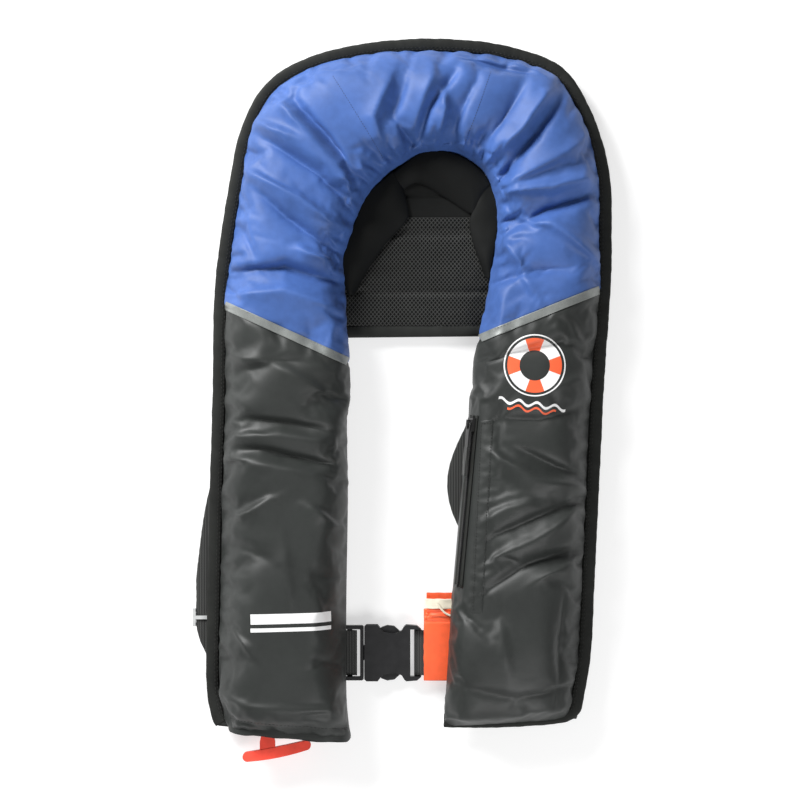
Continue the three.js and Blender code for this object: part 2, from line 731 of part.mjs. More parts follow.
function addPull() {
  const points = pullCordPoints.map(([x, y, z]) => [
    x - pullCordPoints[0][0] + leverPivotX + LEVER_LENGTH,
    y - pullCordPoints[0][1] + leverPivotY - LEVER_HALF_WIDTH - CLEARANCE,
    z,
  ]);
  add('pull_cord', cord(points, PULL_CORD_DIAMETER, 16), webbing);
  const tilt = THREE.MathUtils.degToRad(11.2);
  const half = HANDLE_LENGTH / 2;
  const thick = HANDLE_THICKNESS / 2;
  const bow = 3;
  const bar = new THREE.Shape();
  bar.moveTo(-half + thick, -thick);
  bar.quadraticCurveTo(0, -thick - bow, half - thick, -thick);
  bar.absarc(half - thick, 0, thick, -Math.PI / 2, Math.PI / 2, false);
  bar.quadraticCurveTo(0, thick - 1, -half + thick, thick);
  bar.absarc(-half + thick, 0, thick, Math.PI / 2, Math.PI * 1.5, false);
  const depth = { depth: HANDLE_THICKNESS - 1, bevelEnabled: false, curveSegments: 6 };
  const barSolid = new THREE.ExtrudeGeometry(bar, depth).translate(0, 0, -HANDLE_THICKNESS / 2 + 0.5);
  const last = points.at(-1);
  barSolid.rotateZ(tilt).translate(last[0] + 7.7, last[1] - 16.8, HANDLE_Z);
  const stemHalf = 6.4;
  const stem = plate(
    [
      [last[0] - stemHalf * 0.7, last[1] - CLEARANCE],
      [last[0] - stemHalf, last[1] - 9],
      [last[0] - stemHalf, last[1] - 19],
      [last[0] + stemHalf, last[1] - 17],
      [last[0] + stemHalf, last[1] - 9],
      [last[0] + stemHalf * 0.7, last[1] - CLEARANCE],
    ],
    HANDLE_Z - 3,
    HANDLE_Z + 3,
  );
  add('pull_handle', join(barSolid, stem), redPlastic);
}

addPull();

// ---------- Oral inflation tube and whistle, in the right lobe ----------

const bladderTop = COVER_FLOOR + BLADDER_HEIGHT;
const tubeX = rightRibs[3].outer.x - TUBE_TO_EDGE;
const tubeTopY = -52 * scaleY;
const tubeZ = bladderTop + CLEARANCE + ORAL_CAP_DIAMETER / 2 - 0.2;

function addOralTube() {
  const radius = TUBE_DIAMETER / 2;
  const bore = TUBE_BORE / 2;
  const end = -TUBE_LENGTH;
  const wallRing = [[bore, end], [radius, end], [radius, 0], [bore, 0], [bore, end]];
  add('oral_tube', alongY(turned(wallRing, 16), tubeX, tubeTopY, tubeZ), rubber);
  const flange = rod(13, 0, 2, 20).translate(tubeX, tubeTopY + 9, bladderTop + CLEARANCE);
  const elbow = box(
    [tubeX - radius, tubeTopY + CLEARANCE, bladderTop + CLEARANCE + 1],
    [tubeX + radius, tubeTopY + 16, tubeZ + radius - 1],
  );
  add('oral_tube_elbow', join(flange, elbow), blackPlastic);
  const valveY = tubeTopY - TUBE_LENGTH - CLEARANCE;
  const body = [[3.6, -16], [6.6, -16], [6.6, -10], [7.4, -9], [7.4, 0], [3.6, 0], [3.6, -16]];
  add('oral_valve_body', alongY(turned(body, 20), tubeX, valveY, tubeZ), blackPlastic);
  const poppet = [
    [0, -15.4], [3.1, -15.4], [3.1, -13.4], [1.2, -12.9],
    [1.2, -5], [3, -4.4], [3, -3.6], [0, -3.6],
  ];
  add('oral_valve_poppet', alongY(turned(poppet, 14), tubeX, valveY, tubeZ), rubber);
  const capRadius = ORAL_CAP_DIAMETER / 2;
  const capBore = capRadius - 1.4;
  const cap = [
    [capBore, -10.6], [capRadius, -10.6], [capRadius, -18.5], [capRadius - 0.8, -19.5],
    [0, -19.5], [0, -17.8], [capBore, -17.8], [capBore, -10.6],
  ];
  add('oral_cap', alongY(turned(cap, 20), tubeX, valveY, tubeZ), redPlastic);
}

function addWhistle() {
  const x = tubeX - 13;
  const y = tubeTopY - TUBE_LENGTH - 40;
  const low = bladderTop + CLEARANCE + 0.4;
  const body = box([x - 7, y - 38, low], [x + 7, y, low + 9]);
  const airway = box([x - 5, y - 30, low + 2], [x + 5, y + 1, low + 7]);
  const window_ = box([x - 5, y - 16, low + 4], [x + 5, y - 10, low + 12]);
  add('whistle', cut(body, airway, window_), orangeCloth);
}

addOralTube();
addWhistle();

// ---------- Zip pocket on the inner roll of the right lobe ----------
// The zip lies on the flat facet of the inner roll, between two parallel ribs.

const zipTopRib = rightRibs[2];
const zipEndRib = rightRibs[3];
const ZIP_START = 10;           // from the upper rib to the top stop
const ZIP_LENGTH = 143;
const TAPE_WIDTH = 5;
const TAPE_THICKNESS = 0.6;
const COIL_WIDTH = 3.6;
const COIL_HEIGHT = 1.9;
const SLIDER_LENGTH = 11;
const SLIDER_WIDTH = 9;

function zipFrame() {
  const low = onRib(zipTopRib, ZIP_FACET_LOW, coverTop(zipTopRib, ZIP_FACET_LOW));
  const high = onRib(zipTopRib, ZIP_FACET_HIGH, coverTop(zipTopRib, ZIP_FACET_HIGH));
  const lowEnd = onRib(zipEndRib, ZIP_FACET_LOW, coverTop(zipEndRib, ZIP_FACET_LOW));
  const along = lowEnd.clone().sub(low).normalize();
  const acrossRough = high.clone().sub(low);
  const normal = new THREE.Vector3().crossVectors(along, acrossRough).normalize();
  if (normal.z < 0) {
    normal.negate();
  }
  const across = new THREE.Vector3().crossVectors(along, normal).normalize();
  const middle = low.clone().lerp(high, 0.5).addScaledVector(along, ZIP_START);
  return new THREE.Matrix4().makeBasis(across, along, normal).setPosition(middle);
}

const zipPlace = zipFrame();

function addZip() {
  const gap = COIL_WIDTH / 2 + CLEARANCE;
  const lift = CLEARANCE;
  const tape = (from, to) => box([from, 0, lift], [to, ZIP_LENGTH, lift + TAPE_THICKNESS]);
  add('zip_tape_inner', tape(gap, gap + TAPE_WIDTH), webbing, zipPlace);
  add('zip_tape_outer', tape(-gap - TAPE_WIDTH, -gap), webbing, zipPlace);
  const half = COIL_WIDTH / 2;
  const crest = half * 0.5;
  const section = [[-half, 0], [half, 0], [half, 1], [crest, COIL_HEIGHT], [-crest, COIL_HEIGHT], [-half, 1]];
  const rings = [0, ZIP_LENGTH].map((y) => section.map(([x, h]) => new THREE.Vector3(x, y, lift + h)));
  add('zip_coil', loft(rings, section), webbing, zipPlace);
  const stopLow = lift + COIL_HEIGHT + CLEARANCE;
  const stop = box([-2.6, ZIP_LENGTH - 2, stopLow], [2.6, ZIP_LENGTH, stopLow + 1.2]);
  add('zip_stop', stop, zinc, zipPlace);
}

// The slider straddles the coil and carries the pull on a bridge.
function addZipSlider() {
  const roof = CLEARANCE + COIL_HEIGHT + CLEARANCE + 0.2;
  const start = 2.4;
  const half = SLIDER_WIDTH / 2;
  const skirt = CLEARANCE + TAPE_THICKNESS + CLEARANCE;
  const bodyBlock = box([-half, start, skirt], [half, start + SLIDER_LENGTH, roof + 1.3]);
  const channel = box([-half + 1.6, start - 1, 0], [half - 1.6, start + SLIDER_LENGTH + 1, roof]);
  const bridgeFoot = (y) => box([-1.2, y, roof + 1], [1.2, y + 1.6, roof + 4.4]);
  const bridgeTop = box([-1.2, start + 1.6, roof + 3.4], [1.2, start + 8.4, roof + 4.4]);
  const solid = cut(join(bodyBlock, bridgeFoot(start + 1.6), bridgeFoot(start + 6.8), bridgeTop), channel);
  add('zip_slider', solid, zinc, zipPlace);
  const pullLow = roof + 1.3 + CLEARANCE;
  const eye = [[-3.4, start + 3.5], [3.4, start + 3.5], [2.6, start + 24], [-2.6, start + 24]];
  const eyeHole = [[-1.7, start + 4.6], [1.7, start + 4.6], [1.7, start + 9.4], [-1.7, start + 9.4]];
  add('zip_pull', plate(eye, pullLow, pullLow + 1.2, [eyeHole]), zinc, zipPlace);
  const tab = box([-2.6, start + 24.3, pullLow - 0.4], [2.6, start + 48, pullLow + 1.8]);
  add('zip_pull_tab', tab, webbing, zipPlace);
}

// The welt covers the zip's outer side, and the pocket bag hangs behind it.
function addPocket() {
  const from = ribTowards(zipTopRib, zipEndRib, ZIP_START - 4);
  const to = ribTowards(zipTopRib, zipEndRib, ZIP_START + ZIP_LENGTH + 4);
  const weltSection = layer(12, () => 22, CLEARANCE, 1.2);
  add('pocket_welt', sweepRibs([from, to], weltSection), blackCloth);
  const bagDrop = FABRIC + 6.5;
  const bagWidth = tubeX - ORAL_CAP_DIAMETER / 2 - zipTopRib.inner.x;
  const bagSection = layer(12, () => bagWidth, -bagDrop, 1.2);
  add('pocket_bag', sweepRibs([from, to], bagSection), webbing);
}

addZip();
addZipSlider();
addPocket();

// ---------- Belt, buckle and back straps ----------

const padLeft = -66 * scaleX;
const padRight = 80 * scaleX;
const padLow = 62.3 * scaleY;
const padHigh = 215 * scaleY;
const beltY = BELT_Y * scaleY;
const beltLow = BACK_BOTTOM - 7.2;
const beltHigh = beltLow + WEBBING_THICKNESS;
const buckleZ = (beltLow + beltHigh) / 2;
const buckleMouth = -33.3 * scaleX;
const buckleEnd = buckleMouth + BUCKLE_LENGTH;
const lobeInnerLeft = leftRibs[2].inner.x;
const lobeInnerRight = rightRibs[4].inner.x;
const slotWidth = WEBBING_WIDTH + 1.6;

// Mirrors a half outline, given for positive y, about the belt's centre line.
function mirrored(half) {
  const upper = half.map(([x, y]) => [x, beltY + y]);
  const lower = half.map(([x, y]) => [x, beltY - y]).reverse();
  return [...upper, ...lower];
}

function addBuckleFemale() {
  const m = buckleMouth;
  const w = BUCKLE_WIDTH / 2;
  const e = buckleEnd;
  const half = [
    [m, w - 1.7], [m + 1.8, w], [m + 11.3, w], [m + 13.3, w - 2.7], [m + 16.3, w - 5.9],
    [m + 25.3, w - 7.2], [m + 31.3, w - 5.2], [m + 33.8, w - 1.2], [m + 35.3, w],
    [e - 4.8, w - 0.7], [e - 1.3, w - 3.7], [e, w - 8.7],
  ];
  const low = buckleZ - BUCKLE_THICKNESS / 2;
  const high = buckleZ + BUCKLE_THICKNESS / 2;
  const body = plate(mirrored(half), low, high);
  const socket = box(
    [m - 1, beltY - w - 1, buckleZ - BUCKLE_SLOT / 2],
    [m + 33.6, beltY + w + 1, buckleZ + BUCKLE_SLOT / 2],
  );
  const side = slotWidth / 2;
  const slot = box([e - 10.4, beltY - side, low - 1], [e - 7.1, beltY + side, high + 1]);
  const barRelief = box([e - 8, beltY - side, beltLow - CLEARANCE], [e + 1, beltY + side, high + 1]);
  add('buckle_female', cut(body, socket, slot, barRelief), blackPlastic);
}

const maleFace = buckleMouth - 0.5;
const MALE_FRAME_LENGTH = 24;
const MALE_THICKNESS = 7;

function addBuckleMale() {
  const w = BUCKLE_WIDTH / 2;
  const left = maleFace - MALE_FRAME_LENGTH;
  const low = buckleZ - MALE_THICKNESS / 2;
  const high = buckleZ + MALE_THICKNESS / 2;
  const half = [[left, w - 3], [left + 3, w - 0.6], [maleFace - 1, w - 0.6], [maleFace, w - 1.6]];
  const frame = plate(mirrored(half), low, high);
  const windowCut = (x0, x1, z0, z1) => box([x0, beltY - slotWidth / 2, z0], [x1, beltY + slotWidth / 2, z1]);
  const overLeftBar = windowCut(left - 1, left + 5.5, low - 1, beltHigh + CLEARANCE);
  const firstWindow = windowCut(left + 5, left + 10, low - 1, high + 1);
  const overMiddleBar = windowCut(left + 9.5, left + 15, beltLow - CLEARANCE, high + 1);
  const secondWindow = windowCut(left + 14.5, maleFace - 3, low - 1, high + 1);
  const tongue = box(
    [maleFace - 1, beltY - 6, buckleZ - PRONG_HEIGHT / 2],
    [maleFace + 26, beltY + 6, buckleZ + PRONG_HEIGHT / 2],
  );
  const solid = cut(frame, overLeftBar, firstWindow, overMiddleBar, secondWindow);
  add('buckle_male', join(solid, tongue), blackPlastic);
}

function addProng(name, side) {
  const m = buckleMouth;
  const w = BUCKLE_WIDTH / 2;
  const outline = [
    [m, 9.7], [m + 19.3, 12], [m + 30.3, 13.5], [m + 31.3, 17], [m + 25.3, w - 1.2],
    [m + 19.3, w - 0.4], [m + 14.3, w - 2.2], [m + 11.3, w - 7.2], [m, 14],
  ];
  const placed = outline.map(([x, y]) => [x, beltY + side * y]);
  const low = buckleZ - PRONG_HEIGHT / 2;
  add(name, plate(placed, low, low + PRONG_HEIGHT), blackPlastic);
}

// The outline of a flat strap of even width along a centre line.
function strapOutline(points, width, samples) {
  const path = new THREE.CatmullRomCurve3(points.map(([x, y]) => new THREE.Vector3(x, y * scaleY, 0)));
  const left = [];
  const right = [];
  for (let i = 0; i <= samples; i++) {
    const point = path.getPoint(i / samples);
    const tangent = path.getTangent(i / samples);
    const side = new THREE.Vector3(-tangent.y, tangent.x, 0).multiplyScalar(width / 2);
    left.push([point.x + side.x, point.y + side.y]);
    right.push([point.x - side.x, point.y - side.y]);
  }
  return [...left, ...right.reverse()];
}

const leftStrapX = leftRibs[2].outer.x + 9.8;
const rightStrapX = rightRibs[3].outer.x - 24.9;
const leftSleeve = [leftStrapX + WEBBING_WIDTH / 2 + 3.9, lobeInnerLeft - 16.2];
const rightSleeve = [lobeInnerRight + 15.4, rightStrapX - WEBBING_WIDTH / 2 - 4];
const sleeveHalf = BUCKLE_WIDTH / 2 + 3.8;
const strapLow = BACK_BOTTOM - 4.8;

function addSleeve(name, [start, end]) {
  const low = beltY - sleeveHalf;
  const high = beltY + sleeveHalf;
  const outside = box([start, low, 0], [end, high, BASE_RISE - CLEARANCE]);
  const wall = SLEEVE_WALL;
  const inside = box([start - 1, low + wall, wall], [end + 1, high - wall, BASE_RISE + 1]);
  add(name, cut(outside, inside), blackCloth);
}

function addBelts() {
  const half = WEBBING_WIDTH / 2;
  const leftEnd = maleFace - 3.6;
  const leftBelt = box([-140 * scaleX, beltY - half, beltLow], [leftEnd, beltY + half, beltHigh]);
  add('waist_belt_left', leftBelt, webbing);
  const rightStart = buckleEnd - 10;
  const rightBelt = box([rightStart, beltY - half, beltLow], [132 * scaleX, beltY + half, beltHigh]);
  add('waist_belt_right', rightBelt, webbing);
  addSleeve('belt_sleeve_left', leftSleeve);
  addSleeve('belt_sleeve_right', rightSleeve);
}

function addBackStraps() {
  const x = leftStrapX;
  const leftEnd = padLeft - WEBBING_WIDTH / 2 - 1;
  const left = [
    [x, -228], [x, -205], [x, -165], [x + 1, -140], [x + 12, -74],
    [x + 43, 0], [leftEnd - 4, 50], [leftEnd, 110],
  ];
  const strapHigh = strapLow + WEBBING_THICKNESS;
  add('back_strap_left', plate(strapOutline(left, WEBBING_WIDTH, 22), strapLow, strapHigh), webbing);
  const edge = rightRibs[3].inner.x;
  const rightEnd = padRight + WEBBING_WIDTH / 2 + 2;
  const right = [
    [rightStrapX, -232], [rightStrapX, -200], [rightStrapX - 8, -165], [edge + 48, -125], [edge + 23, -98],
    [edge + 15.6, -66], [edge + 30, -28], [rightEnd - 9, 10], [rightEnd, 50], [rightEnd, 110],
  ];
  add('back_strap_right', plate(strapOutline(right, WEBBING_WIDTH, 26), strapLow, strapHigh), webbing);
}

// Three-bar slider: the strap runs over its two end bars and under its middle bar.
function addStrapSlider() {
  const x = leftStrapX;
  const y = -182.5 * scaleY;
  const half = WEBBING_WIDTH / 2;
  const post = (from, to) => box([from, y - 7.5, strapLow - 2], [to, y + 7.5, strapLow + 3]);
  const barTop = strapLow - CLEARANCE;
  const endBar = (from) => box([x - half - 2, from, strapLow - 2], [x + half + 2, from + 3, barTop]);
  const strapTop = strapLow + WEBBING_THICKNESS + CLEARANCE;
  const middleBar = box([x - half - 2, y - 1.5, strapTop], [x + half + 2, y + 1.5, strapLow + 3]);
  const solid = join(
    post(x - half - 3.2, x - half - 1),
    post(x + half + 1, x + half + 3.2),
    endBar(y - 7.5),
    endBar(y + 4.5),
    middleBar,
  );
  add('strap_slider', solid, greyPlastic);
}

// Orange keeper that the belt runs through, with a flap and a white band above it.
function addKeeper() {
  const start = buckleEnd + 0.6;
  const end = lobeInnerRight + 8;
  const low = buckleZ - 3.2;
  const high = beltHigh + 2.2;
  const outside = box([start, beltY - 23.5, low], [end, beltY + 37, high]);
  const side = slotWidth / 2;
  const passage = box([start - 1, beltY - side, beltLow - 0.6], [end + 1, beltY + side, beltHigh + 0.6]);
  const bandLow = beltY + 37.3;
  const bandHigh = bandLow + 7.6;
  const flap = box([start + 2.5, beltY + 30, low], [end, bandHigh + 6, low + 3.4]);
  add('keeper', cut(join(outside, flap), passage), orangeCloth);
  const bandBottom = low + 3.4 + CLEARANCE;
  add('keeper_band', box([start + 1, bandLow, bandBottom], [end, bandHigh, high + 0.8]), whiteCloth);
}

const LANYARD_DIAMETER = 1.8;
const LANYARD_SPACE = 13;       // space under the back cover that its points were chosen for
const lanyardPoints = [
  [28.5, -171.8, 11.6],
  [31.5, -175.5, 11.7],
  [35.5, -179.3, 11.6],
  [41, -181.2, 11.4],
  [47, -180.2, 10.4],
  [51.5, -178, 7.6],
  [56, -176.6, 4.4],
  [61.5, -176.8, 2.4],
  [66, -179.2, 1.7],
  [67.5, -182, 1.6],
  [67.6, -184.5, 1.6],
];

// The lanyard follows the belt, and its heights follow the space under the back cover.
function addLanyard() {
  const shift = beltY - BELT_Y;
  const points = lanyardPoints.map(([x, y, z]) => [x, y + shift, z * (BASE_RISE / LANYARD_SPACE)]);
  add('whistle_lanyard', cord(points, LANYARD_DIAMETER, 20), whiteCloth);
}

addBuckleFemale();
addBuckleMale();
addProng('prong_upper', 1);
addProng('prong_lower', -1);
addBelts();
addBackStraps();
addStrapSlider();
addKeeper();
addLanyard();

// ---------- Back pad and neck lining ----------

function padOutline(inset) {
  const taper = 16;
  return [
    [padLeft + inset, padLow],
    [padRight - inset, padLow],
    [padRight - inset, padLow + 60],
    [padRight - taper - inset, padHigh - inset],
    [padLeft + taper + inset, padHigh - inset],
    [padLeft + inset, padLow + 60],
  ];
}

function addBackPad() {
  const backing = 1.5;
  const meshThickness = 2.8;
  const meshLow = PAD_THICKNESS - meshThickness;
  add('pad_backing', plate(padOutline(0), 0, backing), bindingCloth);
  add('pad_foam', plate(padOutline(4), backing + CLEARANCE, meshLow - CLEARANCE), padFoam);
  add('pad_mesh', plate(padOutline(0), meshLow, PAD_THICKNESS), meshCloth);
  const binding = box([padLeft, padLow - 9.3, 0], [padRight, padLow - CLEARANCE, PAD_THICKNESS - 1.4]);
  add('pad_binding', binding, bindingCloth);
}

// A lining panel slopes from the collar's inner edge down over the pad.
function liningPanel(name, first, last, widthOf) {
  const ribs = collar.slice(first, last + 1);
  const section = (rib) => {
    const at = (ribs.indexOf(rib)) / (ribs.length - 1);
    const width = widthOf(at);
    const low = PAD_THICKNESS + CLEARANCE + 0.3;
    return [
      [-0.4, BACK_TOP + 5],
      [-width, low],
      [-width, low + 1.4],
      [-0.4, BACK_TOP + 6.4],
    ];
  };
  add(name, sweepRibs(ribs, section), bindingCloth);
}

function addNeckLining() {
  liningPanel('neck_lining_left', 1, 7, (at) => 8 + 22 * Math.sin(at * Math.PI * 0.5));
  liningPanel('neck_lining_top', 8, 19, (at) => 28 + 8 * Math.sin(at * Math.PI));
  liningPanel('neck_lining_right', 20, 24, (at) => 18 - 10 * at);
}

addBackPad();
addNeckLining();

export default jacket;
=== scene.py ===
# %% [markdown]
# # An inflatable life jacket, laid flat
#
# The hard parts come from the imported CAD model, which is the fixed frame here. Every cloth part of that
# model is a plain solid, so this lesson sews a better one over each: three crowned cover panels with
# folds, a bound edge, a mesh back pad, webbing, and the printed and stitched detail.

# %% Load the frame
import math
import random

import bmesh
import bpy
import numpy as np
from mathutils import Matrix, Vector, noise
from mathutils.bvhtree import BVHTree


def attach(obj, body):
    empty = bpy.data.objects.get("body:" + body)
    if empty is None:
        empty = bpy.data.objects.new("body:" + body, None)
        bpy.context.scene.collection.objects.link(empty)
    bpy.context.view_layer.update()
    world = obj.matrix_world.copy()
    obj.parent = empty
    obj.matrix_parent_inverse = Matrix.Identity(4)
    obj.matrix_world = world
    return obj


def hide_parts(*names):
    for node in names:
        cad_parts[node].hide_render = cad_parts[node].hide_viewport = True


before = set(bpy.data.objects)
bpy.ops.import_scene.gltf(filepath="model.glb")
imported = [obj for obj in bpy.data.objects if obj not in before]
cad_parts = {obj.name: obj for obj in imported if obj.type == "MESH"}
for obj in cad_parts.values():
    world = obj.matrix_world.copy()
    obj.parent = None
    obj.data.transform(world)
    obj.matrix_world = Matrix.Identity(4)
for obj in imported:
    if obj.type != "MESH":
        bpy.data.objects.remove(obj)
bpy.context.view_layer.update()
scene = bpy.context.scene
random.seed(7)

# %% [markdown]
# ## Camera, light and floor
#
# The jacket lies on a table and is seen from straight above. A long lens keeps the thick lobes from
# leaning outwards. A large soft lamp at the upper left and a weaker one at the lower right let the satin
# cloth show its folds, and a pale world fills the shadows.

# %% The camera
view_centre = Vector((-0.0033, 0.0, 0.03))
view_width = 0.6656
camera_height = 2.2

camera = bpy.data.objects.new("camera", bpy.data.cameras.new("camera"))
camera.data.sensor_width = 36
camera.data.lens = 36 * camera_height / view_width
camera.location = view_centre + Vector((0, 0, camera_height))
scene.collection.objects.link(camera)
scene.camera = camera
scene.view_settings.view_transform = "Standard"
print("camera lens:", round(camera.data.lens, 1), "mm")


# %% The lamps and the world
def soft_lamp(name, place, size, power):
    """A square lamp that faces the middle of the jacket."""
    lamp = bpy.data.objects.new(name, bpy.data.lights.new(name, "AREA"))
    lamp.data.size = size
    lamp.data.energy = power
    lamp.location = place
    lamp.rotation_euler = (-Vector(place)).to_track_quat("-Z", "Y").to_euler()
    scene.collection.objects.link(lamp)


soft_lamp("key_lamp", (-1.2, 1.3, 1.05), 0.8, 76)
soft_lamp("fill_lamp", (0.5, -1.4, 1.3), 0.9, 21)
scene.world = bpy.data.worlds.new("studio")
scene.world.use_nodes = True
scene.world.node_tree.nodes["Background"].inputs["Color"].default_value = (1, 1, 1, 1)
scene.world.node_tree.nodes["Background"].inputs["Strength"].default_value = 0.26


# %% [markdown]
# ## Finishes
#
# Each finish is a small network of nodes. Woven cloth is two crossed sets of bands that lift the surface
# a little, and broad noise that varies its shade and gloss the way handling does. The patterns read
# Object coordinates, so they stay put on the piece and don't need a UV map.

# %% Wiring helpers
def start_finish(name, colour, roughness, metallic=0.0, sheen=0.0, specular=0.5):
    """A new material with its shader; colour is linear RGB."""
    made = bpy.data.materials.new(name)
    made.use_nodes = True
    shader = made.node_tree.nodes["Principled BSDF"]
    shader.inputs["Base Color"].default_value = (*colour, 1)
    shader.inputs["Roughness"].default_value = roughness
    shader.inputs["Metallic"].default_value = metallic
    shader.inputs["Sheen Weight"].default_value = sheen
    shader.inputs["Specular IOR Level"].default_value = specular
    return made, made.node_tree, shader


def node(tree, kind, **values):
    """A node of that kind, with its inputs and settings filled in."""
    made = tree.nodes.new(kind)
    for key, value in values.items():
        if key in made.inputs:
            made.inputs[key].default_value = value
        else:
            setattr(made, key, value)
    return made


def place_of(tree):
    """The Object coordinates of the piece."""
    return node(tree, "ShaderNodeTexCoord").outputs["Object"]


WAVE_PERIOD = 0.314  # metres between the bands of a Wave node whose scale is 1


def bands(tree, direction, width, turn=0.0):
    """Bands across the piece, one every width metres."""
    turned = node(tree, "ShaderNodeMapping", Rotation=(0, 0, turn))
    tree.links.new(place_of(tree), turned.inputs["Vector"])
    wave = node(tree, "ShaderNodeTexWave", Scale=WAVE_PERIOD / width, bands_direction=direction)
    tree.links.new(turned.outputs["Vector"], wave.inputs["Vector"])
    return wave.outputs["Fac"]


def cloudy(tree, size, detail=3.0):
    """Soft noise whose patches are about size metres."""
    made = node(tree, "ShaderNodeTexNoise", Scale=1 / size, Detail=detail)
    tree.links.new(place_of(tree), made.inputs["Vector"])
    return made.outputs["Fac"]


def sums(tree, first, second, share=0.5):
    """A mix of two grey patterns."""
    made = node(tree, "ShaderNodeMix", data_type="FLOAT", Factor=share)
    tree.links.new(first, made.inputs[2])
    tree.links.new(second, made.inputs[3])
    return made.outputs[0]


def lift(tree, shader, height, strength, distance):
    """Raises the surface where the pattern is pale."""
    made = node(tree, "ShaderNodeBump", Strength=strength, Distance=distance)
    tree.links.new(height, made.inputs["Height"])
    tree.links.new(made.outputs["Normal"], shader.inputs["Normal"])


def shade(tree, shader, pattern, dark, pale, low=0.35, high=0.65):
    """Colours the surface between dark and pale by the pattern."""
    ramp = node(tree, "ShaderNodeValToRGB")
    ramp.color_ramp.elements[0].position = low
    ramp.color_ramp.elements[0].color = (*dark, 1)
    ramp.color_ramp.elements[1].position = high
    ramp.color_ramp.elements[1].color = (*pale, 1)
    tree.links.new(pattern, ramp.inputs["Fac"])
    tree.links.new(ramp.outputs["Color"], shader.inputs["Base Color"])


def gloss(tree, shader, pattern, low, high):
    """Varies the roughness between low and high by the pattern."""
    made = node(tree, "ShaderNodeMapRange")
    made.inputs["To Min"].default_value = low
    made.inputs["To Max"].default_value = high
    tree.links.new(pattern, made.inputs["Value"])
    tree.links.new(made.outputs["Result"], shader.inputs["Roughness"])


# %% Woven cloths
def woven(name, colour, thread, roughness, sheen=0.0, depth=0.00006, turn=0.0, spread=0.16,
          specular=0.5):
    """Plain weave with threads that wide, and a shade that drifts by spread."""
    made, tree, shader = start_finish(name, colour, roughness, sheen=sheen, specular=specular)
    weave = sums(tree, bands(tree, "X", thread, turn), bands(tree, "Y", thread, turn))
    lift(tree, shader, weave, 0.5, depth)
    drift = sums(tree, cloudy(tree, 0.05), cloudy(tree, 0.006), 0.3)
    shade(tree, shader, drift, [c * (1 - spread) for c in colour], [c * (1 + spread) for c in colour])
    gloss(tree, shader, cloudy(tree, 0.02), roughness - 0.06, roughness + 0.06)
    return made


finishes = {
    "black_cloth": woven("black_satin_nylon", (0.0175, 0.0200, 0.0185), 0.0005, 0.52, sheen=0.04,
                         specular=0.42),
    "blue_cloth": woven("blue_satin_nylon", (0.046, 0.106, 0.318), 0.0005, 0.54, sheen=0.03, specular=0.34),
    "binding_tape": woven("black_binding_tape", (0.0088, 0.0098, 0.0083), 0.0009, 0.7, spread=0.4,
                          depth=0.00025, turn=0.6, specular=0.3),
    "orange_cloth": woven("orange_nylon", (0.88, 0.112, 0.030), 0.0006, 0.5, sheen=0.1),
    "white_tape": woven("white_cotton_tape", (0.78, 0.72, 0.58), 0.0007, 0.8, depth=0.0002),
    "bladder_cloth": woven("yellow_coated_cloth", (0.85, 0.62, 0.05), 0.0006, 0.45),
}
neoprene = woven("black_smooth_lining", (0.0036, 0.0040, 0.0037), 0.0006, 0.66, depth=0.00004,
                 specular=0.16)
pad_cloth = woven("black_pad_cloth", (0.0052, 0.0056, 0.0052), 0.0006, 0.8, depth=0.00008, specular=0.18)
print("woven cloths:", len(finishes) + 2)


# %% Webbing, mesh, foam, hook and loop, reflective tape
def webbing_finish():
    """Ribs across the strap with a fine herringbone between."""
    made, tree, shader = start_finish("black_webbing", (0.018, 0.019, 0.018), 0.7, sheen=0.2)
    ribs = sums(tree, bands(tree, "X", 0.0022), bands(tree, "DIAGONAL", 0.0011), 0.35)
    lift(tree, shader, ribs, 0.8, 0.0004)
    shade(tree, shader, ribs, (0.009, 0.010, 0.009), (0.035, 0.036, 0.034))
    return made


def fuzzy_finish(name, colour):
    """Short upright fibres, as on hook and loop tape."""
    made, tree, shader = start_finish(name, colour, 0.95, sheen=0.4)
    fibres = cloudy(tree, 0.0008, 2.0)
    lift(tree, shader, fibres, 0.9, 0.0005)
    shade(tree, shader, fibres, [c * 0.5 for c in colour], [c * 1.7 for c in colour])
    return made


def foam_finish():
    """Closed-cell foam: small round cells."""
    made, tree, shader = start_finish("grey_foam", (0.09, 0.095, 0.10), 0.9)
    cells = node(tree, "ShaderNodeTexVoronoi", Scale=900)
    tree.links.new(place_of(tree), cells.inputs["Vector"])
    lift(tree, shader, cells.outputs["Distance"], 0.6, 0.0003)
    shade(tree, shader, cells.outputs["Distance"], (0.06, 0.063, 0.066), (0.13, 0.135, 0.14), 0.1, 0.8)
    return made


def reflective_finish():
    """Glass beads on a grey tape: fine bright grain under a soft sheen."""
    made, tree, shader = start_finish("grey_reflective_tape", (0.24, 0.24, 0.235), 0.45, metallic=0.2)
    grain = cloudy(tree, 0.0005, 1.0)
    shade(tree, shader, sums(tree, grain, cloudy(tree, 0.01), 0.5), (0.16, 0.17, 0.165), (0.255, 0.27, 0.26))
    lift(tree, shader, grain, 0.3, 0.0001)
    return made


finishes["black_webbing"] = webbing_finish()
finishes["hook_and_loop"] = fuzzy_finish("black_hook_and_loop", (0.02, 0.02, 0.02))
finishes["pad_foam"] = foam_finish()
finishes["reflective_tape"] = reflective_finish()
finishes["spacer_mesh"] = woven("black_spacer_mesh", (0.030, 0.031, 0.029), 0.0004, 0.55, depth=0.0001,
                                specular=0.4)
thread_black = woven("black_thread", (0.012, 0.012, 0.011), 0.0003, 0.6)


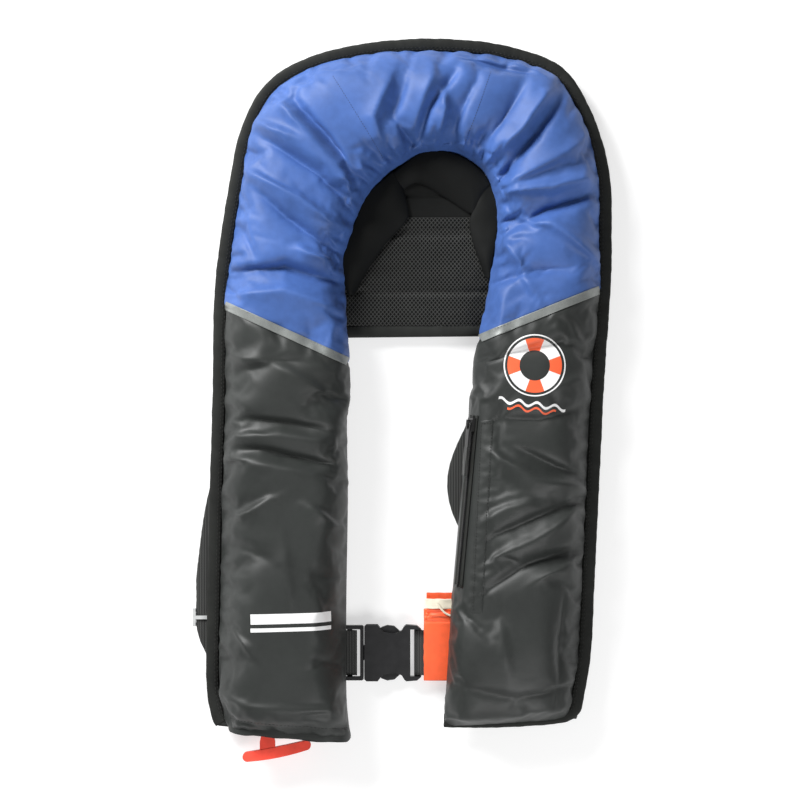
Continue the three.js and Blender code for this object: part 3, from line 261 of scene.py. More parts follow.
# %% Plastics, metal and rubber
def moulded(name, colour, roughness, grain=0.0004, specular=0.5):
    """Moulded plastic: a fine spark-eroded grain and slightly scuffed gloss."""
    made, tree, shader = start_finish(name, colour, roughness, specular=specular)
    lift(tree, shader, cloudy(tree, grain, 2.0), 0.25, 0.00008)
    shade(tree, shader, cloudy(tree, 0.012), [c * 0.88 for c in colour], [c * 1.12 for c in colour])
    gloss(tree, shader, cloudy(tree, 0.005), roughness - 0.08, roughness + 0.1)
    return made


def drawn_metal(name, colour, roughness):
    """Metal with fine lines along it and dulled patches."""
    made, tree, shader = start_finish(name, colour, roughness, metallic=1.0)
    lift(tree, shader, bands(tree, "Y", 0.0006), 0.15, 0.00004)
    shade(tree, shader, cloudy(tree, 0.009), [c * 0.8 for c in colour], [min(1, c * 1.1) for c in colour])
    gloss(tree, shader, cloudy(tree, 0.003), roughness, roughness + 0.18)
    return made


finishes["black_plastic"] = moulded("black_acetal", (0.013, 0.013, 0.014), 0.36)
finishes["grey_plastic"] = moulded("grey_acetal", (0.50, 0.51, 0.51), 0.45)
finishes["red_plastic"] = moulded("red_plastic", (0.97, 0.082, 0.050), 0.58, specular=0.3)
finishes["orange_plastic"] = moulded("orange_plastic", (0.9, 0.22, 0.03), 0.35)
finishes["sensor_plastic"] = moulded("sensor_plastic", (0.75, 0.75, 0.70), 0.4)
finishes["zinc"] = drawn_metal("die_cast_zinc", (0.55, 0.56, 0.57), 0.32)
finishes["steel"] = drawn_metal("bright_steel", (0.62, 0.63, 0.64), 0.22)
painted_zinc = moulded("black_painted_zinc", (0.016, 0.016, 0.016), 0.30, specular=0.6)
finishes["black_rubber"] = moulded("black_rubber", (0.014, 0.014, 0.014), 0.8, 0.001)
print("finishes:", len(finishes), "for the slots of the record")


# %% [markdown]
# ## Printed marks
#
# The lobes carry screen printing. Here it is plain and generic: a lifebuoy ring over two wave lines on
# the right lobe, and two bars on the left. The marks are worked out from Object coordinates with a few
# Math nodes, so the ink bends with the cloth and no picture is needed.


# %% Ink on cloth
def sums_of(tree, operation, first, second):
    """One Math node; each value is a number or an output."""
    made = node(tree, "ShaderNodeMath", operation=operation)
    for socket, value in zip(made.inputs, (first, second)):
        if isinstance(value, (int, float)):
            socket.default_value = value
        else:
            tree.links.new(value, socket)
    return made.outputs[0]


def centred(tree, x, y, turn=0.0):
    """x and y outputs measured from a centre given in metres, turned by turn."""
    shifted = node(tree, "ShaderNodeMapping", Location=(-x, -y, 0))
    tree.links.new(place_of(tree), shifted.inputs["Vector"])
    turned = node(tree, "ShaderNodeMapping", Rotation=(0, 0, turn))
    tree.links.new(shifted.outputs["Vector"], turned.inputs["Vector"])
    split = node(tree, "ShaderNodeSeparateXYZ")
    tree.links.new(turned.outputs["Vector"], split.inputs["Vector"])
    return split.outputs["X"], split.outputs["Y"]


def within(tree, value, low, high):
    """1 where the value lies between low and high."""
    return sums_of(
        tree, "MULTIPLY", sums_of(tree, "GREATER_THAN", value, low), sums_of(tree, "LESS_THAN", value, high)
    )


def within_box(tree, a, b, half_length, half_height):
    """1 where a and b both lie inside a box round their zero."""
    long_enough = within(tree, a, -half_length, half_length)
    return sums_of(tree, "MULTIPLY", long_enough, within(tree, b, -half_height, half_height))


def bar_mark(tree, x, y, half_length, half_height, turn=0.0):
    """A printed bar."""
    a, b = centred(tree, x, y, turn)
    return within_box(tree, a, b, half_length, half_height)


def ring_mark(tree, x, y, low, high):
    """A printed ring, and the turn round its centre as an angle."""
    a, b = centred(tree, x, y)
    radius = sums_of(tree, "SQRT", sums_of(tree, "ADD", sums_of(tree, "MULTIPLY", a, a),
                                           sums_of(tree, "MULTIPLY", b, b)), 0.0)
    return within(tree, radius, low, high), sums_of(tree, "ARCTAN2", b, a)


def wave_mark(tree, x, y, half_length, half_height):
    """A printed wave line."""
    a, b = centred(tree, x, y, 0.14)
    swell = sums_of(tree, "MULTIPLY", sums_of(tree, "SINE", sums_of(tree, "MULTIPLY", a, 420.0), 0.0), 0.0019)
    return within_box(tree, a, sums_of(tree, "SUBTRACT", b, swell), half_length, half_height)


def ink(tree, shader, mask, colour):
    """Prints a colour where the mask is 1, over what the shader has so far."""
    mix = node(tree, "ShaderNodeMix", data_type="RGBA")
    tree.links.new(mask, mix.inputs["Factor"])
    tree.links.new(shader.inputs["Base Color"].links[0].from_socket, mix.inputs[6])
    mix.inputs[7].default_value = (*colour, 1)
    tree.links.new(mix.outputs[2], shader.inputs["Base Color"])


WHITE_INK, ORANGE_INK = (0.80, 0.80, 0.80), (0.85, 0.12, 0.04)
printed_black = finishes["black_cloth"].copy()
printed_black.name = "black_satin_nylon_printed"
inked, ink_shader = printed_black.node_tree, printed_black.node_tree.nodes["Principled BSDF"]
ring, turn_round = ring_mark(inked, 0.1075, 0.0285, 0.0125, 0.0225)
ink(inked, ink_shader, ring, WHITE_INK)
four_turns = sums_of(inked, "COSINE", sums_of(inked, "MULTIPLY", turn_round, 4.0), 0.0)
quarters = sums_of(inked, "GREATER_THAN", four_turns, 0.15)
ink(inked, ink_shader, sums_of(inked, "MULTIPLY", ring, quarters), ORANGE_INK)
rope, _ = ring_mark(inked, 0.1075, 0.0285, 0.0245, 0.0256)
ink(inked, ink_shader, rope, WHITE_INK)
ink(inked, ink_shader, wave_mark(inked, 0.1055, -0.0035, 0.028, 0.0011), WHITE_INK)
ink(inked, ink_shader, wave_mark(inked, 0.1050, -0.0080, 0.020, 0.0009), ORANGE_INK)
ink(inked, ink_shader, bar_mark(inked, -0.0932, -0.1795, 0.0330, 0.0042, -0.03), WHITE_INK)
ink(inked, ink_shader, bar_mark(inked, -0.0932, -0.1885, 0.0330, 0.0016, -0.03), WHITE_INK)
finishes["printed"] = printed_black

# %% Give every CAD node its finish
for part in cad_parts.values():
    packed_slot = part.data.materials[0].name.split(".")[0]
    part.data.materials.clear()
    painted = part.name.startswith("zip_") and packed_slot in ("zinc", "steel")
    part.data.materials.append(painted_zinc if painted else finishes[packed_slot])
print("CAD nodes with a finish:", len(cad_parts))

# %% The floor
floor_sheet = bmesh.new()
bmesh.ops.create_grid(floor_sheet, x_segments=4, y_segments=4, size=4)
floor_mesh = bpy.data.meshes.new("floor")
floor_sheet.to_mesh(floor_mesh)
floor_sheet.free()
floor = bpy.data.objects.new("floor", floor_mesh)
floor.location.z = -0.0006
floor_paint, _, floor_shader = start_finish("pale_floor", (0.55, 0.55, 0.55), 0.9, specular=0.1)
floor_shader.inputs["Emission Color"].default_value = (1, 1, 1, 1)
floor_shader.inputs["Emission Strength"].default_value = 0.56
floor_mesh.materials.append(floor_paint)
scene.collection.objects.link(floor)

# %% [markdown]
# ## The two cords
#
# A three millimetre cord runs from the inflator's lever down through the hem to the pull handle, and a
# thin lanyard leaves the keeper and goes up under the right lobe to the whistle. Both lie where the CAD
# tubes lie, so their points are the same. A curve with a round bevel is the plainest way to make a cord.


# %% A cord from its points
def cord_piece(name, points, diameter, slot, body, stands_for):
    """A round cord through the points, given in millimetres."""
    line = bpy.data.curves.new(name, "CURVE")
    line.dimensions = "3D"
    line.bevel_depth = diameter / 2
    line.bevel_resolution = 3
    line.use_fill_caps = True
    line.resolution_u = 4
    spline = line.splines.new("BEZIER")
    spline.bezier_points.add(len(points) - 1)
    for knot, point in zip(spline.bezier_points, points):
        knot.co = Vector(point) / 1000
        knot.handle_left_type = knot.handle_right_type = "AUTO"
    made = bpy.data.objects.new(name, line)
    scene.collection.objects.link(made)
    line.materials.append(finishes[slot])
    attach(made, body)
    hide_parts(stands_for)
    return made


pull_points = [
    (-101, -255.38, 31.2), (-100.4, -259.68, 31.2), (-100.6, -264.18, 29), (-103.5, -267.68, 25.5),
    (-108, -269.68, 22.5), (-112, -271.98, 20.8), (-114, -274.78, 20), (-114, -276.42, 20),
]
pull_line = cord_piece("pull_line", pull_points, 0.003, "red_plastic", "manual_pull", "pull_cord")

lanyard_points = [
    (28.5, -171.8, 11.6), (31.5, -175.5, 11.7), (35.5, -179.3, 11.6), (41, -181.2, 11.4), (47, -180.2, 10.4),
    (51.5, -178, 7.6), (56, -176.6, 4.4), (61.5, -176.8, 2.4), (66, -179.2, 1.7), (67.5, -182, 1.6),
    (67.6, -184.5, 1.6),
]
lanyard = cord_piece("lanyard", lanyard_points, 0.0018, "white_tape", "jacket", "whistle_lanyard")

# %% [markdown]
# ## The pattern of the jacket
#
# The jacket is one long U. Its shape is a row of ribs: each rib joins a point on the inner edge to a
# point on the outer edge. Between ribs the edges are smooth curves, so every panel, tape and stitch row
# can ask for a place by its distance along the U and its share of the way across.

# %% The ribs, in millimetres: inner x, inner y, outer x, outer y, height of the cloth
LOBE, COLLAR, MOUTH = 38, 34, 21
ribs = np.array([
    (-44.1, -282.9, -157.2, -272.9, MOUTH), (-46.2, -267.9, -160.6, -266.2, 34),
    (-47.8, -245.4, -165.2, -241.3, LOBE), (-47.8, -166.4, -164.7, -166.4, LOBE),
    (-46.6, -83.2, -162.7, -79.0, LOBE), (-47.4, -16.6, -160.2, 4.2, LOBE), (-46.6, 32.0, -158.9, 83.2, LOBE),
    (-49.1, 106.5, -153.9, 133.1, COLLAR), (-45.8, 129.0, -147.3, 174.7, COLLAR),
    (-34.9, 160.6, -136.4, 226.3, COLLAR), (-16.6, 185.5, -114.8, 265.4, COLLAR),
    (1.7, 198.8, -76.5, 287.9, COLLAR), (21.6, 206.3, -18.3, 300.2, COLLAR),
    (40.8, 206.3, 43.3, 301.8, COLLAR), (55.7, 199.7, 96.5, 293.7, COLLAR),
    (66.6, 190.5, 134.8, 276.2, COLLAR), (73.2, 175.6, 159.7, 234.6, COLLAR),
    (77.4, 153.9, 172.2, 188.0, COLLAR), (74.0, 114.8, 173.9, 137.3, COLLAR), (63.2, 51.2, 173.1, 95.7, LOBE),
    (58.2, 12.5, 168.0, 20.8, LOBE), (54.9, -2.5, 166.4, -8.3, LOBE), (39.9, -166.4, 158.9, -166.4, LOBE),
    (36.6, -216.3, 156.4, -212.2, LOBE), (33.5, -262.9, 149.3, -256.3, 27), (32.9, -273.7, 146.4, -267.0, 5),
])
middles = (ribs[:, :2] + ribs[:, 2:4]) / 2
stations = np.concatenate([[0], np.cumsum(np.linalg.norm(np.diff(middles, axis=0), axis=1))])
LEFT_SEAM, RIGHT_SEAM, END = stations[6], stations[19], stations[-1]
print("length of the U along its middle:", round(END), "mm; seams at", round(LEFT_SEAM), round(RIGHT_SEAM))


# %% The rib at any distance along the U
def rib_at(s):
    """Inner point, outer point and height at that distance, on smooth curves through the ribs."""
    s = min(max(s, 0.0), END)
    i = min(int(np.searchsorted(stations, s, side="right")) - 1, len(ribs) - 2)
    span = stations[i + 1] - stations[i]
    t = (s - stations[i]) / span

    def slope(k):
        a, b = max(k - 1, 0), min(k + 1, len(ribs) - 1)
        return (ribs[b] - ribs[a]) / (stations[b] - stations[a])

    h = (2 * t**3 - 3 * t**2 + 1, t**3 - 2 * t**2 + t, -2 * t**3 + 3 * t**2, t**3 - t**2)
    r = h[0] * ribs[i] + h[1] * span * slope(i) + h[2] * ribs[i + 1] + h[3] * span * slope(i + 1)
    return Vector((r[0], r[1])), Vector((r[2], r[3])), r[4]


# %% The crown of a rib
FLOOR_Z = 14.8
INNER_ROLL, OUTER_ROLL, RIM, RIM_LIFT = 26, 46, 11, 4.3


def roll(p):
    """Height of a rolled edge, 0 at the edge and 1 where it levels out."""
    p = min(max(p, 0.0), 1.0)
    return (1 - (1 - p) ** 2.5) ** 0.4


def crown(across, room, height):
    """Height of the cloth above the table at a distance from the inner edge, in millimetres."""
    top = height * roll(across / INNER_ROLL) * roll((room - across) / OUTER_ROLL)
    rim = RIM_LIFT * (across / room) ** 6
    return FLOOR_Z + math.hypot(top, rim)


def jacket_point(share, s, above=0.0):
    """A point of the cover: share 0 at the outer seam, 1 at the inner edge. Millimetres."""
    inner, outer, height = rib_at(s)
    room = (outer - inner).length - RIM
    across = room * (1 - math.cos(math.pi * (1 - share))) / 2
    flat = inner + (outer - inner).normalized() * across
    return Vector((flat.x, flat.y, crown(across, room, height) + above))


print("crest of the left lobe:", round(jacket_point(0.6, 200).z, 1), "mm")

# %% [markdown]
# ## Folds
#
# Satin cloth over a soft pack falls into long radial folds on the collar and a few slanting ones on the
# lobes. A fold is a line, a height and a width. Each one lifts the cloth beside its line, more steeply on
# one side, and dies away at both ends. Short puckers line every seam, because the stitching gathers the
# cloth there.

# %% The long folds: points in millimetres, then height and width
collar_folds = [
    ([(-111, 257), (-72, 214), (-35, 169)], 5.0, 5.5), ([(-90, 246), (-62, 214), (-38, 180)], -4.0, 5.0),
    ([(-125, 231), (-82, 212), (-51, 193), (-36, 155)], 4.5, 5.5),
    ([(-123, 223), (-67, 187), (-41, 157)], -3.5, 6.0),
    ([(-130, 188), (-84, 165), (-46, 139)], 4.0, 6.0), ([(-123, 178), (-97, 154), (-64, 129)], -4.0, 7.0),
    ([(-143, 106), (-97, 109), (-51, 96)], -4.5, 8.0), ([(-146, 88), (-97, 91), (-59, 78)], 3.5, 6.0),
    ([(-86, 125), (-52, 112)], 3.0, 3.5), ([(-148, 150), (-132, 140), (-120, 118)], -2.5, 4.0),
    ([(-10, 262), (-24, 231), (-18, 212)], 3.0, 6.0), ([(2, 262), (-10, 231)], -3.5, 6.0),
    ([(43, 270), (20, 239), (13, 213)], -4.0, 5.0), ([(25, 267), (10, 224)], 3.5, 6.0),
    ([(30, 262), (34, 238), (28, 214)], 3.0, 5.0), ([(60, 262), (48, 240), (38, 214)], -2.5, 6.0),
    ([(125, 264), (97, 221), (71, 198)], 4.5, 5.0), ([(130, 252), (107, 218), (79, 185)], -4.0, 6.0),
    ([(56, 280), (84, 274), (107, 267)], -3.0, 4.0), ([(100, 262), (84, 232), (62, 206)], -3.0, 6.0),
    ([(163, 185), (120, 175), (77, 170)], 4.0, 5.0), ([(156, 170), (115, 155), (82, 139)], -5.0, 7.0),
    ([(166, 111), (120, 144), (97, 149)], 3.5, 6.0), ([(133, 108), (87, 103)], -3.5, 9.0),
    ([(150, 215), (118, 196), (84, 178)], 3.0, 6.0), ([(104, 90), (92, 116), (80, 130)], 3.0, 7.0),
]
lobe_folds = [
    ([(-144, -14), (-100, -19), (-56, -26)], -3.6, 7.0), ([(-139, -30), (-103, -29), (-67, -33)], 3.2, 6.0),
    ([(-146, -38), (-108, -44), (-56, -54)], -4.2, 6.5), ([(-150, -46), (-110, -56), (-80, -62)], 3.0, 8.0),
    ([(-147, 22), (-112, 30), (-86, 32)], -3.0, 7.0), ([(-145, 38), (-104, 28), (-64, 6)], 3.0, 7.0),
    ([(-150, -102), (-128, -94), (-110, -83)], 2.8, 5.0), ([(-80, -88), (-62, -98), (-48, -105)], 2.6, 5.0),
    ([(-145, -118), (-112, -132)], -2.2, 8.0), ([(-98, -120), (-92, -170)], 1.8, 9.0),
    ([(-144, -190), (-126, -204)], 2.0, 6.0), ([(-72, -150), (-56, -196)], 1.8, 8.0),
    ([(-148, -263), (-110, -268), (-50, -269)], -3.4, 2.8),
    ([(-150, -246), (-110, -252), (-60, -254)], 1.6, 6.0),
    ([(76, -17), (112, -16), (147, -8)], -3.6, 8.0), ([(71, -42), (109, -65), (157, -72)], 4.2, 6.0),
    ([(92, -40), (122, -54), (154, -66)], -3.6, 6.0), ([(66, -100), (84, -90), (104, -85)], 3.6, 6.0),
    ([(76, -130), (110, -112), (144, -90)], 4.8, 5.5), ([(69, -156), (102, -133), (152, -120)], -4.4, 7.0),
    ([(109, -148), (130, -138), (150, -128)], 3.4, 6.0), ([(74, -112), (104, -98), (140, -84)], -3.4, 5.0),
    ([(84, 36), (128, 46), (160, 40)], -2.6, 7.0), ([(120, 8), (150, 18)], 2.6, 6.0),
    ([(78, -180), (86, -226)], 2.0, 8.0), ([(132, -176), (128, -230)], -1.8, 9.0),
    ([(52, -236), (92, -244), (140, -236)], -2.2, 5.0),
]


# %% The short puckers along the seams
def puckers(share_from, share_to, first, last, step, height, width):
    """A row of short folds that start at a seam and point across the jacket."""
    made, s = [], first
    while s < last:
        lean = random.uniform(-5, 5)
        a = jacket_point(share_from, s)
        b = jacket_point(share_from + (share_to - share_from) * random.uniform(0.6, 1.2), s + lean)
        high = height * random.uniform(0.5, 1.3)
        made.append(([(a.x, a.y), (b.x, b.y)], high, width * random.uniform(0.8, 1.3)))
        s += step * random.uniform(0.6, 1.5)
    return made


collar_folds += puckers(1.0, 0.72, LEFT_SEAM + 30, RIGHT_SEAM - 30, 9, -2.6, 2.6)
collar_folds += puckers(1.0, 0.80, LEFT_SEAM + 60, RIGHT_SEAM - 60, 13, 2.2, 3.0)
collar_folds += puckers(0.0, 0.22, LEFT_SEAM + 8, RIGHT_SEAM - 8, 14, -1.8, 2.8)
lobe_folds += puckers(0.0, 0.2, 60, LEFT_SEAM - 20, 10, -2.2, 2.8)
lobe_folds += puckers(1.0, 0.78, 60, LEFT_SEAM - 20, 26, -1.6, 3.6)
lobe_folds += puckers(0.0, 0.2, RIGHT_SEAM + 15, END - 30, 12, -2.0, 2.8)
print("folds on the collar:", len(collar_folds), "and on the lobes:", len(lobe_folds))


# %% How far a set of folds lifts each point
STEEP_SIDE, GENTLE_SIDE = 0.42, 1.3  # reach of a fold on its two sides, in widths
END_FADE = 0.55  # below 1 a fold stays high for longer and drops late


def fold_lift(points, folds):
    """Height change in millimetres at each x, y of an array of points."""
    lifted = np.zeros(len(points))
    for line, height, width in folds:
        line = np.array(line, float)
        steps = np.diff(line, axis=0)
        lengths = np.linalg.norm(steps, axis=1)
        whole, start = lengths.sum(), 0.0
        best, along, side = np.full(len(points), 1e9), np.zeros(len(points)), np.ones(len(points))
        for corner, step, length in zip(line[:-1], steps, lengths):
            away = points - corner
            t = np.clip(away @ step / length**2, 0, 1)
            off = away - t[:, None] * step
            distance = np.hypot(off[:, 0], off[:, 1])
            nearer = distance < best
            best[nearer] = distance[nearer]
            along[nearer] = (start + t * length)[nearer] / whole
            side[nearer] = np.sign(step[0] * off[:, 1] - step[1] * off[:, 0])[nearer]
            start += length
        reach = width * np.where(side > 0, STEEP_SIDE, GENTLE_SIDE)
        ridge = np.exp(-(np.sqrt(best**2 + 1.2) - 1.1) / reach)
        lifted += height * ridge * np.sin(math.pi * (0.08 + 0.84 * along)) ** END_FADE
    return lifted


# %% [markdown]
# ## The three cover panels
#
# Each panel is a grid of cloth laid over its stretch of ribs. The grid is folded along the listed folds
# first, then Blender's cloth solver inflates it a little with slack in the weave, with its edges held as
# the seams hold them, so that the cloth finds its own small creases between the big folds. How far a
# point may move is capped. The result is kept as the mesh, and Solidify and one subdivision finish it.

# %% Helpers for cloth pieces
CLOTH = 1.2


def laid_grid(across, along, place):
    """A bmesh grid whose points come from place(share across, share along), in millimetres."""
    sheet = bmesh.new()
    bmesh.ops.create_grid(sheet, x_segments=across, y_segments=along, size=0.5)
    for v in sheet.verts:
        v.co = place(v.co.x + 0.5, v.co.y + 0.5)
    bmesh.ops.scale(sheet, verts=sheet.verts, vec=(0.001, 0.001, 0.001))
    return sheet


def to_piece(name, shape, finish, body="jacket", stands_for=(), slot=None):
    """Keeps the bmesh as a smooth shaded piece that rides on a CAD body."""
    mesh = bpy.data.meshes.new(name)
    shape.to_mesh(mesh)
    shape.free()
    mesh.shade_smooth()
    mesh.materials.append(finishes[finish] if isinstance(finish, str) else finish)
    made = bpy.data.objects.new(name, mesh)
    scene.collection.objects.link(made)
    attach(made, body)
    if stands_for:
        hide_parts(*stands_for)
    if slot or isinstance(finish, str):
        slot or finish
    return made


def thicken(piece, wall, smooth=1, offset=-1.0):
    """Gives a sheet its wall and a last subdivision."""
    solid = piece.modifiers.new("wall", "SOLIDIFY")
    solid.thickness = wall / 1000
    solid.offset = offset
    if smooth:
        rounder = piece.modifiers.new("rounder", "SUBSURF")
        rounder.levels = rounder.render_levels = smooth


def area_of(piece):
    """The area of a piece's own mesh in square metres, before its modifiers."""
    return sum(face.area for face in piece.data.polygons)


def as_cut(piece, flat):
    """Prints how a sheet's area compares with the size it was cut to."""
    closed = not any(m.type == "SOLIDIFY" for m in piece.modifiers)
    print(piece.name, "area over cut:", round(area_of(piece) / (2 if closed else 1) / flat[0] / flat[1], 2))


def edge_marks(piece):
    """1 for the points on a sheet's edges, which the seams hold, and 0 for the rest."""
    sheet = bmesh.new()
    sheet.from_mesh(piece.data)
    marks = np.array([float(v.is_boundary) for v in sheet.verts])
    sheet.free()
    return marks


# %% Let the cloth settle
def settle(piece, held, slack, pressure, cap, frames=20):
    """Inflates the cloth with its seams held, then moves each point at most cap millimetres."""
    before = np.array([v.co for v in piece.data.vertices])
    group = piece.vertex_groups.new(name="sewn")
    for i, weight in enumerate(held):
        group.add([i], float(weight), "REPLACE")
    cloth = piece.modifiers.new("settle", "CLOTH")
    cloth.settings.quality = 5
    cloth.settings.mass = 0.2
    cloth.settings.tension_stiffness = cloth.settings.compression_stiffness = 20
    cloth.settings.shear_stiffness = 8
    cloth.settings.bending_stiffness = 0.08
    cloth.settings.use_pressure = True
    cloth.settings.uniform_pressure_force = pressure
    cloth.settings.shrink_min = cloth.settings.shrink_max = -slack
    cloth.settings.effector_weights.gravity = 0
    cloth.settings.vertex_group_mass = "sewn"
    cloth.collision_settings.use_collision = False
    cloth.point_cache.frame_end = frames
    for f in range(1, frames + 1):
        scene.frame_set(f)
    settled = piece.evaluated_get(bpy.context.evaluated_depsgraph_get()).data
    moved = np.array([v.co for v in settled.vertices]) - before
    piece.modifiers.remove(cloth)
    piece.vertex_groups.remove(group)
    scene.frame_set(1)
    far = np.linalg.norm(moved, axis=1) + 1e-12
    limit = cap / 1000
    kept = before + moved * (limit * np.tanh(far / limit) / far)[:, None]
    piece.data.vertices.foreach_set("co", kept.astype(np.float32).ravel())
    piece.data.update()
    print(piece.name, "settled; furthest point moved", round(float(far.max()) * 1000, 1), "mm before the cap")


# %% The zip's own straight line on the right panel, which the cloth there keeps to
zip_top = Vector((58.732, -12.705, 38.906))
zip_along = Vector((-0.09117, -0.99584, 0.0))
zip_across = Vector((-0.42428, 0.03884, -0.90470))
zip_normal = Vector((-0.90093, 0.08248, 0.42606)).normalized()
ZIP_LENGTH = 143


def zip_nearness(point):
    """1 beside the zip and 0 away from it."""
    along = (point - zip_top).dot(zip_along)
    past = max(0.0, -along - 4, along - ZIP_LENGTH - 6)
    aside = max(0.0, (point - zip_top - zip_along * along).to_2d().length - 9)
    return max(0.0, 1 - math.hypot(past, aside) / 12)


# %% Sew one panel
FOLD_DEPTH = {"blue_cloth": 2.7, "black_cloth": 2.0}
HIGHEST, EASING = 54.0, 4.5


def cover_panel(name, first, last, across, along, folds, finish, stands_for):
    """A crowned panel of cover cloth between two stations of the U."""
    made = to_piece(
        name, laid_grid(across, along, lambda u, v: jacket_point(u, first + (last - first) * v)),
        finish, stands_for=stands_for,
    )
    points = np.array([v.co for v in made.data.vertices]) * 1000
    high = np.clip((points[:, 2] - FLOOR_Z - 2) / 9, 0, 1)
    near_zip = np.array([zip_nearness(Vector(p)) for p in points])
    points[:, 2] += FOLD_DEPTH[finish] * fold_lift(points[:, :2], folds) * high * (1 - near_zip)
    facet = zip_top.z - ((points[:, :2] - zip_top[:2]) @ np.array(zip_normal[:2])) / zip_normal.z
    points[:, 2] += near_zip * np.minimum(facet - points[:, 2], 0)
    over = points[:, 2] - HIGHEST
    points[:, 2] = np.where(over > 0, HIGHEST + EASING * np.tanh(over / EASING), points[:, 2])
    made.data.vertices.foreach_set("co", (points / 1000).astype(np.float32).ravel())
    settle(made, np.maximum(edge_marks(made), near_zip), slack=0.06, pressure=3.5, cap=6.0)
    if finish == "black_cloth":
        made.data.materials[0] = finishes["printed"]
    thicken(made, CLOTH)
    print(name, "area", round(area_of(made), 4), "square metres")
    return made


cover_left = cover_panel(
    "cover_left", 0.0, LEFT_SEAM, 44, 110, lobe_folds, "black_cloth", ("cover_front_left", "hem_left"),
)
cover_collar = cover_panel(
    "cover_collar", LEFT_SEAM - 1.2, RIGHT_SEAM + 1.2, 46, 190, collar_folds, "blue_cloth",
    ("cover_front_collar",),
)
cover_right = cover_panel(
    "cover_right", RIGHT_SEAM, END, 44, 110, lobe_folds, "black_cloth", ("cover_front_right",),
)


# %% [markdown]
# ## Pieces that lie on the covers
#
# Tapes, stitches and the pocket's welt have to follow the folds. A ray dropped on the finished panels
# tells how high the cloth is at any place.

# %% The height of the cloth
def skin_of(*pieces):
    """Trees of the finished surfaces, for dropping rays on."""
    ready = bpy.context.evaluated_depsgraph_get()
    return [BVHTree.FromObject(piece, ready) for piece in pieces]


covers = skin_of(cover_left, cover_collar, cover_right)


def on_cloth(x, y, above=0.0, trees=covers, floor_z=FLOOR_Z):
    """The point of the cover over x, y, in millimetres, raised by above."""
    top = floor_z
    for tree in trees:
        hit = tree.ray_cast(Vector((x, y, 200)) / 1000, Vector((0, 0, -1)))[0]
        if hit:
            top = max(top, hit.z * 1000)
    return Vector((x, y, top + above))


# %% Lines, sections and sweeps
def smooth_line(points, step=3.0):
    """A smooth line through the points, in millimetres, with a point every step."""
    p = [Vector(q) for q in points]
    p = [2 * p[0] - p[1], *p, 2 * p[-1] - p[-2]]
    made = []
    for a, b, c, d in zip(p, p[1:], p[2:], p[3:]):
        count = max(1, round((c - b).length / step))
        for k in range(count):
            t = k / count
            bend, twist = 2 * a - 5 * b + 4 * c - d, 3 * b - a - 3 * c + d
            made.append((2 * b + (c - a) * t + bend * t**2 + twist * t**3) / 2)
    return made + [p[-2]]


def squared(angle, half_width, half_height, corner=0.4):
    """A point on a rounded rectangle; a small corner value makes it squarer."""
    c, h = math.cos(angle), math.sin(angle)
    return half_width * math.copysign(abs(c) ** corner, c), half_height * math.copysign(abs(h) ** corner, h)


def swept(line, section, around=20, side=None):
    """A closed tube along the line. section(angle, share) gives its offsets aside and up in millimetres."""
    last = len(line) - 1

    def place(u, v):
        i = round(v * last)
        tangent = (line[min(i + 1, last)] - line[max(i - 1, 0)]).normalized()
        aside = Vector((tangent.y, -tangent.x, 0)) if side is None else Vector(side)
        aside = (aside - tangent * aside.dot(tangent)).normalized()
        up = aside.cross(tangent)
        x, z = section(2 * math.pi * (round(u * around) % around) / around, v)
        return line[i] + aside * x + up * z

    tube = laid_grid(around, last, place)
    bmesh.ops.remove_doubles(tube, verts=tube.verts, dist=1e-7)
    bmesh.ops.holes_fill(tube, edges=[e for e in tube.edges if e.is_boundary])
    bmesh.ops.recalc_face_normals(tube, faces=tube.faces)
    return tube


def wobble(x, y, z, size, height):
    """Soft noise of that size and height at a place, in millimetres."""
    return noise.noise(Vector((x, y, z)) / size) * height


# %% A row of stitches
def stitch_row(name, path, pitch, thread, body="jacket", finish=thread_black, slot="binding_tape"):
    """Small rounded stitches along a path of points, in millimetres."""
    row = bmesh.new()
    travelled, due = 0.0, pitch / 2
    for a, b in zip(path, path[1:]):
        gap = (b - a).length
        while gap > 0 and travelled + gap >= due:
            spot = a.lerp(b, (due - travelled) / gap) / 1000
            turn = (b - a).to_track_quat("X", "Z").to_matrix().to_4x4()
            size = Matrix.Diagonal((pitch * 0.36 / 1000, thread / 2000, thread / 2400, 1))
            bmesh.ops.create_icosphere(
                row, subdivisions=1, radius=1, matrix=Matrix.Translation(spot) @ turn @ size
            )
            due += pitch
        travelled += gap
    return to_piece(name, row, finish, body, slot=slot)


# %% [markdown]
# ## The bound edge
#
# The outer rims of the front and back covers meet in a folded tape, sewn through near its inner side. Its
# section is a flattened loop with a rounded outer edge. The needle pulls the tape down at each stitch, so
# the loop is swept along the edge with a slight ripple. At the foot of the right lobe it turns the corner
# and closes the end.

# %% Binding
EDGE_Z = 16.1  # middle height of the bound edge, in millimetres
edge_line = [rib_at(s)[1] for s in np.arange(0, END - 16, 2.5)]
edge_line += [Vector(p) for p in [(148.6, -258.5), (145.5, -263.6), (140, -267.6), (132, -270.2)]]
edge_line = [Vector((p.x, p.y, EDGE_Z)) for p in edge_line]
foot_line = [(132, -270.2), (110, -272.6), (80, -274), (56, -274.2), (33.4, -273.9)]
foot_line = [(x, y, EDGE_Z) for x, y in foot_line]
edge_line = smooth_line(edge_line[:-1] + foot_line, 2.2)
print("bound edge:", len(edge_line), "stations")


